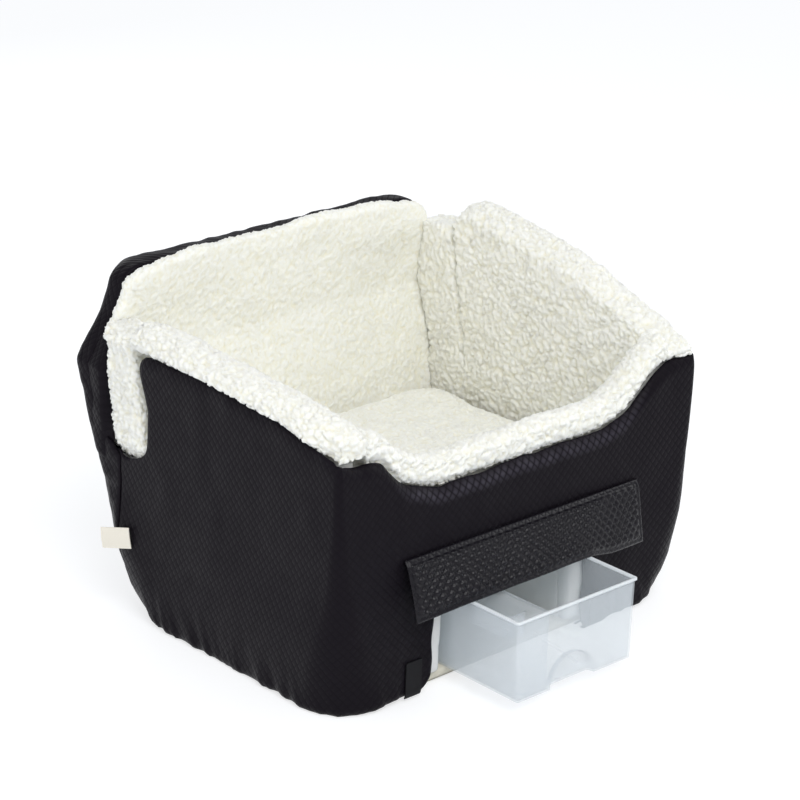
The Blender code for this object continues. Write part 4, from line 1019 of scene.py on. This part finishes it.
# %% How the rolls and gussets settle
def settle_side(points):
    """The left roll sinks up to 10 mm halfway along. The right one runs down to a point at the front corner
    and stands taller behind. The gussets draw in behind the walls' ends."""
    x, y, z = points.T
    above = np.clip((z - side_rim(y, x)) / 0.034, 0.0, 1.2)
    sunk = -0.010 * np.sin(math.pi * side_share(y))
    along = [-0.2585, -0.195, -0.145, -0.1025, -0.059, 0.11, 0.15]
    raised = np.interp(y, along, [-0.024, -0.011, -0.0015, 0.0075, 0.012, 0.012, 0.0])
    z = z + np.where(x < 0.0, sunk, raised) * above
    drawn = (1.0 - ease(z, 0.350, 0.030)) * (x < 0.0)
    y = np.where(y > 0.15, y - 0.38 * drawn * (y - 0.15), y)
    out = np.abs(x)
    out = out - 0.25 * drawn * ease(y, 0.09, 0.02) * np.maximum(out - 0.262, 0.0)
    taller = 0.030 * ease(z, 0.300, 0.06) * ease(y, 0.128, 0.02) * (1.0 - ease(z, 0.395, 0.03))
    return joined(np.sign(x) * out, y, z + np.where(x > 0.0, taller, 0.0))


def settle_back(points):
    """The back's fleece stands over the back's top edge in the middle, and fills out to its shoulders."""
    x, y, z = points.T
    rise = np.interp(x, [-0.225, -0.205, -0.126, 0.04, 0.166, 0.235], [0.0, 0.002, 0.011, 0.0125, 0.009, 0.0])
    wide = np.interp(z, [0.330, 0.365, 0.42, 0.44], [0.0, 0.008, 0.006, 0.002])
    x = x + np.sign(x) * wide * ease(np.abs(x), 0.19, 0.05)
    low = 1.0 - ease(z, 0.300, 0.07)
    x = x - np.sign(x) * 0.6 * low * np.maximum(np.abs(x) - 0.262, 0.0)
    return joined(x, y, z + rise * ease(z, 0.36, 0.06))


print("a point of the right roll settles to", settle_side(np.array([[0.27, 0.0, 0.40]])).round(4))


# %% The four runs of lining
fleece_voxel = 0.0024
lining_x, lining_y = 0.2770, -0.2435


def make_fleece(name, nodes, seed, settle=None, depth=0.0058, size=0.0092, stretch=(1.0, 1.0, 1.0)):
    """One run of lining: skin round copies of its solids, pressed behind the cover's edges, and curled.

    Over the rim it isn't pressed, and in front it stands further back there and at the corners."""
    made = voxel_copy(name, nodes, fleece_voxel, cream_fleece, 0.0009)
    relax(made.data, 3)
    x, y, z = points_of(made.data).T
    across = np.abs(x)
    behind = ease(wall_end(z, x) - y, -0.005, 0.008)
    inner = lining_x - press_behind(lining_x - across, 0.0, 0.0012)
    over = ease(z - side_rim(y, x), -0.001, 0.010)
    inner = inner + (across - inner) * over * ease(y, -0.2400, 0.04)
    x = x + np.sign(x) * np.where(across > 0.25, behind * (inner - across), 0.0)
    set_back = 0.0080 * ease(z - front_rim(x), 0.0, 0.012) + 0.0060 * ease(across, 0.235, 0.03)
    ahead = press_behind(y, lining_y - np.minimum(set_back, 0.0100), 0.0012)
    points = joined(x, np.where(y < -0.2, ahead, y), z)
    move_points(made.data, settle(points) if settle else points)
    pile = curl(made, size, depth, seed, stretch)
    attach(made, "seat")
    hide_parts(*nodes)
    print(name, len(made.data.polygons), "quads, pile", round(float(pile.mean()), 3))


make_fleece("fleece_run_left", ("fleece_left", "fleece_gusset_left"), 101, settle_side)
make_fleece("fleece_run_right", ("fleece_right", "fleece_gusset_right"), 102, settle_side)
make_fleece("fleece_run_front", ("fleece_front",), 103)
make_fleece("fleece_run_back", ("fleece_back",), 104, settle_back, 0.0030, 0.0084, (0.85, 1.0, 1.4))

# %% [markdown]
# ## The cushion
#
# The loose cushion is a flat bag of the same fleece, filled, so it is crowned in the middle and
# pulls in between its corners. That is what pressure does to cloth, so a slightly smaller copy of
# its solid is blown up by a cloth simulation of twenty frames, with the movement capped, and then
# curled like the lining.

# %% Cloth blown up by pressure
blown_frames = 20
blown_cap = 0.006


def blow_up(made, before):
    """The points after the cloth simulation, none moved further than the cap."""
    cloth = made.modifiers.new("pressure", "CLOTH")
    cloth.settings.use_pressure = True
    cloth.settings.uniform_pressure_force = 4.0
    cloth.settings.effector_weights.gravity = 0.0
    cloth.settings.quality = 5
    for number in range(1, blown_frames + 1):
        bpy.context.scene.frame_set(number)
    swollen = bpy.data.meshes.new_from_object(made.evaluated_get(bpy.context.evaluated_depsgraph_get()))
    moved = points_of(swollen) - before
    made.modifiers.remove(cloth)
    bpy.data.meshes.remove(swollen)
    bpy.context.scene.frame_set(1)
    far = np.linalg.norm(moved, axis=1, keepdims=True)
    return before + moved * np.minimum(1.0, blown_cap / np.maximum(far, 1e-9))


print("blown for", blown_frames, "frames, at most", blown_cap * 1000.0, "mm")


# %% The fleece cushion
cushion_shrunk = np.array([0.975, 0.970, 0.74])
deck_top = 0.1569


def make_cushion():
    """A smaller skin of the cushion's solid, swollen by cloth pressure, capped, subdivided and curled.

    Before and after the curls its underside is kept off the deck."""
    made = voxel_copy("cushion_fleece", ("cushion",), 0.0050, cream_fleece)
    relax(made.data, 2)
    points = points_of(made.data)
    middle = 0.5 * (points.min(axis=0) + points.max(axis=0))
    points = middle + (points - middle) * cushion_shrunk
    move_points(made.data, points)
    move_points(made.data, blow_up(made, points))
    relax(made.data, 1)
    finer = made.modifiers.new("finer", "SUBSURF")
    finer.levels = 1
    finer.render_levels = 1
    smooth = bpy.data.meshes.new_from_object(made.evaluated_get(bpy.context.evaluated_depsgraph_get()))
    bpy.data.objects.remove(made)
    made = add_object("cushion_fleece", smooth, cream_fleece)
    points = points_of(made.data)
    points[:, 2] = press_behind(points[:, 2], deck_top + 0.0016, 0.0008)
    move_points(made.data, points)
    curl(made, 0.0088, 0.0036, 140)
    points = points_of(made.data)
    points[:, 2] = np.maximum(points[:, 2], deck_top)
    move_points(made.data, points)
    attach(made, "cushion")
    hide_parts("cushion")
    return made


cushion = make_cushion()
print("cushion", len(cushion.data.polygons), "quads")

# %% [markdown]
# ## The flap over the drawer
#
# A quilted flap is sewn along its top to the front, just above the drawer's opening, and hangs in
# front of it like a curtain. The drawer stands a little open and props the flap out along its
# middle, and the two ends hang lower and closer to the wall. The flap is a thin pad with real
# puffs, because their satin light is what shows in front. It is worked out as two grids sewn at
# the border: a middle surface that hangs from the seam at an angle that changes along it, and a
# thickness made of the diamonds, which falls off towards the bound edges.

# %% How the flap hangs
flap_seam_y, flap_seam_z = -0.2580, 0.1885
flap_left, flap_right = -0.1885, 0.1855
flap_pitch = 0.0120


def flap_fall(x):
    """Angle out from the wall in radians and fall along the cloth at each place across."""
    across = [-0.189, -0.165, -0.118, 0.02, 0.084, 0.12, 0.186]
    angle = np.interp(x, across, [17.0, 22.0, 29.0, 30.0, 27.0, 19.0, 9.0])
    fall = np.interp(x, across, [0.0735, 0.0720, 0.0695, 0.0690, 0.0690, 0.0750, 0.0790])
    return np.radians(angle), fall


def flap_surface(x, down):
    """Place and outward direction on the flap's middle surface: a short round over the seam, then straight
    down at the angle, with the lower half easing back a little and slow waves along its length."""
    angle, fall = flap_fall(x)
    swing = angle * (1.10 - 0.22 * down)
    reach = fall * down
    wave = 0.0011 * soft_noise(joined(x, 0.4 * down * fall, 0.0), 0.045, 61) * down
    y = flap_seam_y - reach * np.sin(swing) - 0.0028 * ease(down, 0.0, 0.12) - wave
    z = flap_seam_z - reach * np.cos(swing)
    return joined(x, y, z), joined(0.0, -np.cos(swing), np.sin(swing))


print("the flap's middle falls", round(1000.0 * float(flap_fall(0.0)[1]), 1), "mm")


# %% The pad of the flap
def diamonds(across, up, pitch):
    """Puff height from 0 on the stitched lines to 1: the product of two ridged rows that cross."""
    rows = [np.abs(np.mod((across + sign * diamond_slope * up) / pitch, 1.0) - 0.5) * 2.0 for sign in (1.0, -1.0)]
    return (1.0 - rows[0] ** 2.6) * (1.0 - rows[1] ** 2.6)


def make_flap():
    """Front and back of the pad, each half its thickness from the middle surface, with a bound edge."""
    across, down = np.meshgrid(np.linspace(0.0, 1.0, 281), np.linspace(1.0, 0.0, 57))
    width = flap_right - flap_left
    x = flap_left + width * across
    angle, fall = flap_fall(x)
    place, outward = flap_surface(x, down)
    from_edge = np.minimum(np.minimum(across, 1.0 - across) * width, np.minimum(1.0 - down, down) * fall)
    puff = diamonds(x + 0.0006 * soft_noise(place, 0.012, 63), -down * fall, flap_pitch)
    inside = ease(from_edge, 0.0050, 0.0035)
    bead = 1.0 - within(np.abs(from_edge - 0.0022) / 0.0024) ** 2.0
    dent = 0.0004 * soft_noise(place, 0.016, 64)
    front = 0.0010 + inside * (0.0011 + 0.0027 * puff + dent) + 0.0010 * bead * (1.0 - inside)
    rear = 0.0009 + 0.0006 * inside
    skins = place + outward * front[..., None], place - outward * rear[..., None]
    made = closed_pad("drawer_flap_quilted", *skins, flap_cloth, joined(x, -down * fall))
    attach(made, "flap")
    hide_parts("drawer_flap")
    return made


flap = make_flap()
print("flap", len(flap.data.polygons), "quads")


# %% The fastening patches under the flap
def make_patch(name, low, high, node):
    """A small pile patch on the flap's underside: a thin pad that follows the flap a hair behind it."""
    across, down = np.meshgrid(np.linspace(low, high, 13), np.linspace(0.90, 0.60, 9))
    place, outward = flap_surface(across, down)
    edge = np.minimum(np.minimum(across - low, high - across), 0.004) / 0.004
    behind = place - outward * 0.0019
    made = closed_pad(name, behind, behind - outward * (0.0007 + 0.0006 * edge)[..., None], hook_tape)
    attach(made, "flap")
    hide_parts(node)
    print(name, round(1000.0 * (high - low), 1), "mm wide")


make_patch("flap_pile_patch_left", -0.169, -0.131, "flap_loop_patch_left")
make_patch("flap_pile_patch_right", 0.129, 0.167, "flap_loop_patch_right")

# %% [markdown]
# ## The drawer
#
# The drawer is one thin moulding of cloudy plastic: four walls that lean out a little, a turned lip
# round the top, and an arched hollow low in its front for two fingers. A vacuum-formed or injected
# tray is a profile carried round a rounded rectangle, so it is built as rings: up the outside, over
# the lip, down the inside. The hollow is pressed into both skins of the front wall. A second
# moulding stands in its left half, a divider with a flange and a shallow pocket.

# %% Rings of the drawer
def rounded_ring(low, high, radius, z, front_count=110, side_count=26, corner_count=7):
    """Points round a rounded rectangle at height z, from its front left corner round by the right.

    Each side is evenly divided, and each corner is a quarter circle of that radius."""
    (left, front), (right, rear) = low, high
    turn = np.linspace(0.0, math.pi / 2.0, corner_count + 2)[1:-1]
    near_x, far_x, near_y, far_y = left + radius, right - radius, front + radius, rear - radius
    centers = ((far_x, near_y), (far_x, far_y), (near_x, far_y), (near_x, near_y))
    sides = (
        (np.linspace(near_x, far_x, front_count), np.full(front_count, front)),
        (np.full(side_count, right), np.linspace(near_y, far_y, side_count)),
        (np.linspace(far_x, near_x, side_count), np.full(side_count, rear)),
        (np.full(side_count, left), np.linspace(far_y, near_y, side_count)),
    )
    x, y = [], []
    for number, (center, side) in enumerate(zip(centers, sides)):
        start = -math.pi / 2.0 + number * math.pi / 2.0
        x += [side[0], center[0] + radius * np.cos(start + turn)]
        y += [side[1], center[1] + radius * np.sin(start + turn)]
    return joined(np.concatenate(x), np.concatenate(y), z)


drawer_low, drawer_high = (np.array(corner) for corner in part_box("drawer_tray"))
wall = 0.0018
lip = 0.0022
wall_rows = 54
print("drawer", (drawer_high - drawer_low).round(4))


# %% The moulded drawer
def finger_hollow(points):
    """Depth of the arched hollow: full inside an arch 70 mm wide and 38 mm high, and gone 3 mm outside it."""
    across = (points[..., 0] + 0.0188) / 0.0352
    up = (points[..., 2] - drawer_low[2]) / 0.0375
    away = np.sqrt(across**2.0 + np.maximum(up, 0.0) ** 2.0)
    return 0.0095 * ease(away, 1.04, -0.085) * (points[..., 1] < drawer_low[1] + 0.02)


def finish_moulding(made, lip_faces):
    """Gives the drawer's body and slot, and the thicker lip's finish to the faces in a mask."""
    made.data.materials.append(lip_plastic)
    made.data.polygons.foreach_set("material_index", lip_faces.astype(np.int32))
    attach(made, "drawer")
    return made


def make_drawer():
    """Rings up the outer wall with its draught, over the lip, and down the inner wall to the floor.

    Each ring has an inset from the wall's outside, a corner radius and a height."""
    low, high = drawer_low[:2] + lip, drawer_high[:2] - lip
    base, top = drawer_low[2], drawer_high[2]
    up = np.linspace(0.04, 1.0, wall_rows)
    floor = base + wall
    rings = [(0.0045, 0.002, base), (0.0030, 0.003, base + 0.0010)]
    rings += [(0.0026 * (1.0 - share), 0.0035, base + share * (top - 0.0032 - base)) for share in up]
    rings += [(-lip, 0.0045, top - 0.0028), (-lip, 0.0045, top - 0.0004), (0.0006 - lip, 0.0040, top)]
    lip_end = len(rings)
    rings += [(wall - 0.0006, 0.0030, top)]
    rings += [(wall + 0.0026 * (1.0 - share), 0.0026, floor + share * (top - 0.0010 - floor)) for share in up[::-1]]
    rings += [(0.0030 + wall, 0.002, floor + 0.0006), (0.0060 + wall, 0.002, floor)]
    points = np.stack([rounded_ring(low + inset, high - inset, radius, z) for inset, radius, z in rings])
    points[..., 1] += finger_hollow(points)
    made = closed_loft("drawer_moulding", points, drawer_plastic)
    row = np.arange(len(made.data.polygons)) // points.shape[1]
    finish_moulding(made, (row >= wall_rows + 1) & (row <= lip_end + 1))
    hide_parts("drawer_tray")
    return made


drawer = make_drawer()
print("drawer", len(drawer.data.polygons), "faces")


# %% The drawer's divider
def make_insert():
    """Divider, flange and pocket: rings up the divider's outside, over the flange and down the pocket."""
    low = drawer_low[:2] + lip + wall + 0.0032
    high = np.array([-0.0550, drawer_high[1] - lip - wall - 0.0032])
    pocket_low, pocket_high = np.array([-0.1015, -0.3390]), np.array([-0.0705, -0.0600])
    top, floor = drawer_high[2] - 0.0050, drawer_low[2] + wall + 0.0004
    outside = [(0.002, 0.003, floor)]
    for share in np.linspace(0.0, 1.0, 5):
        outside.append((0.0012 * (1.0 - share), 0.004, floor + share * (top - 0.001 - floor)))
    outside.append((0.0006, 0.0036, top))
    pocket = [(-0.0010, 0.0090, top), (0.0, 0.0082, top - 0.0010), (0.0010, 0.0076, top - 0.0300)]
    pocket.append((0.0030, 0.0060, top - 0.0315))
    rings = [rounded_ring(low + inset, high - inset, radius, z, 24, 30) for inset, radius, z in outside]
    rings += [rounded_ring(pocket_low + inset, pocket_high - inset, radius, z, 24, 30) for inset, radius, z in pocket]
    made = closed_loft("drawer_divider", np.stack(rings), drawer_plastic)
    row = np.arange(len(made.data.polygons)) // len(rings[0])
    return finish_moulding(made, row == len(outside) - 2)


divider = make_insert()
print("divider", len(divider.data.polygons), "faces")

# %% [markdown]
# ## The small pieces at the foot, and the solids that stay
#
# The cloth bellies out at three corners and is turned in at its foot. The base board, the hem's
# elastic and the label go with it, as moved copies of their solids. The deck, the risers and the
# fastenings have the right shape already, so they keep their solids and only get a finish.

# %% Pieces that go with the cloth
crisp_from = math.radians(35.0)


def copy_of(node, name, finish, settle):
    """A merged copy of one solid, crisp at its edges, whose points a function moves. It replaces the solid."""
    mesh = merged_copy(name, [node])
    mesh.set_sharp_from_angle(angle=crisp_from)
    move_points(mesh, settle(points_of(mesh)))
    made = add_object(name, mesh, finish)
    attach(made, "seat")
    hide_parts(node)
    print(name, "stands for", node)


def turned_in(points):
    """The corners follow the cloth inwards, and the whole piece is a little smaller than its solid."""
    return (points + corner_swell(points)) * np.array([0.980, 0.970, 1.0])


def on_seam(points):
    """The label goes out with the belly of the cloth that it is sewn to, and a little forwards and up."""
    hang = (points[:, 2:].max() - points[:, 2:]) / np.ptp(points[:, 2])
    moved = np.array([-0.0030, -0.0150, 0.0070]) + hang * np.array([0.0, -0.0060, 0.0])
    return points + corner_swell(points) + moved


copy_of("label_tab", "label_on_seam", label_cloth, on_seam)
copy_of("base_board", "base_board_turned_in", cream_foam, turned_in)
copy_of("hem_elastic", "hem_elastic_turned_in", elastic, turned_in)

# %% Kept solids
kept_finishes = {
    cream_foam: ("deck_board",),
    white_foam: ("riser_left", "riser_right", "riser_rear"),
    hook_tape: ("hook_patch_left", "hook_patch_right"),
    webbing: ("belt_loop",),
}
for finish, names in kept_finishes.items():
    for name in names:
        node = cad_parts[name]
        node.data.materials.clear()
        node.data.materials.append(finish)
    print(finish.name, "on", ", ".join(names))

# %% [markdown]
# ## Floor and light
#
# A photographer's white sweep is a floor that reads white and still holds the shadow. Here the
# floor's material gives the camera part white glow and part lit white, so the shadow stays soft
# and nothing has to be overexposed. The world is white where it is seen or looked through, and
# dimmer where it lights, so that the pale fleece keeps its curls.

# %% Floor
def two_faced(tree, kinds, share, first, second, output):
    """Ends a shader tree in a mix: the second shader counts by that share for the kinds of ray named."""
    light_path = tree.nodes.new("ShaderNodeLightPath")
    seen = light_path.outputs[kinds[0]]
    for kind in kinds[1:]:
        seen = math_node(tree, "MAXIMUM", seen, light_path.outputs[kind])
    mix = tree.nodes.new("ShaderNodeMixShader")
    tree.links.new(times(tree, seen, share), mix.inputs[0])
    tree.links.new(first.outputs[0], mix.inputs[1])
    tree.links.new(second.outputs[0], mix.inputs[2])
    tree.links.new(mix.outputs[0], tree.nodes.new(output).inputs[0])


def bare_tree(owner):
    """The owner's node tree, emptied."""
    owner.use_nodes = True
    owner.node_tree.nodes.clear()
    return owner.node_tree


floor_reach = 9.0


def make_floor():
    """A wide plane just under the seat. Its glow only counts for camera, mirror and see-through rays."""
    material = bpy.data.materials.new("white_sweep")
    tree = bare_tree(material)
    lit = tree.nodes.new("ShaderNodeBsdfDiffuse")
    lit.inputs["Color"].default_value = (0.88, 0.90, 0.93, 1.0)
    glow = tree.nodes.new("ShaderNodeEmission")
    glow.inputs["Strength"].default_value = 1.45
    kinds = ("Is Camera Ray", "Is Glossy Ray", "Is Transmission Ray")
    two_faced(tree, kinds, 0.45, lit, glow, "ShaderNodeOutputMaterial")
    mesh = bpy.data.meshes.new("floor")
    corners = [(x * floor_reach, y * floor_reach, 0.0) for x, y in ((-1, -1), (1, -1), (1, 1), (-1, 1))]
    mesh.from_pydata(corners, [], [(0, 1, 2, 3)])
    made = add_object("floor", mesh, material)


make_floor()
print("floor", 2.0 * floor_reach, "m wide")


# %% World and lamps
def make_world():
    """White for rays that are seen or looked through, and a softer white that lights."""
    world = bpy.data.worlds.new("studio")
    tree = bare_tree(world)
    lighting = tree.nodes.new("ShaderNodeBackground")
    lighting.inputs["Color"].default_value = (0.95, 0.97, 1.0, 1.0)
    lighting.inputs["Strength"].default_value = 0.62
    shown = tree.nodes.new("ShaderNodeBackground")
    kinds = ("Is Camera Ray", "Is Transmission Ray")
    two_faced(tree, kinds, 1.0, lighting, shown, "ShaderNodeOutputWorld")
    bpy.context.scene.world = world


def add_lamp(name, place, target, size, power):
    """A soft square lamp that looks at a point."""
    data = bpy.data.lights.new(name, "AREA")
    data.size = size
    data.energy = power
    lamp = bpy.data.objects.new(name, data)
    away = np.array(target) - np.array(place)
    flat = math.hypot(away[0], away[1])
    lamp.location = place
    lamp.rotation_euler = (math.atan2(flat, -away[2]), 0.0, math.atan2(-away[0], away[1]))
    bpy.context.scene.collection.objects.link(lamp)


make_world()
add_lamp("key", (-0.9, -2.0, 2.3), (0.0, 0.0, 0.15), 1.5, 36.0)
add_lamp("side", (1.9, -1.2, 1.3), (0.0, 0.0, 0.2), 1.2, 9.0)
add_lamp("behind", (0.4, 2.5, 1.3), (0.0, 0.2, 0.2), 1.2, 9.0)
add_lamp("left", (-2.4, 0.0, 0.62), (-0.1, 0.0, 0.3), 0.9, 7.5)
bpy.context.scene.view_settings.view_transform = "Standard"
print("lamps", len(bpy.data.lights))
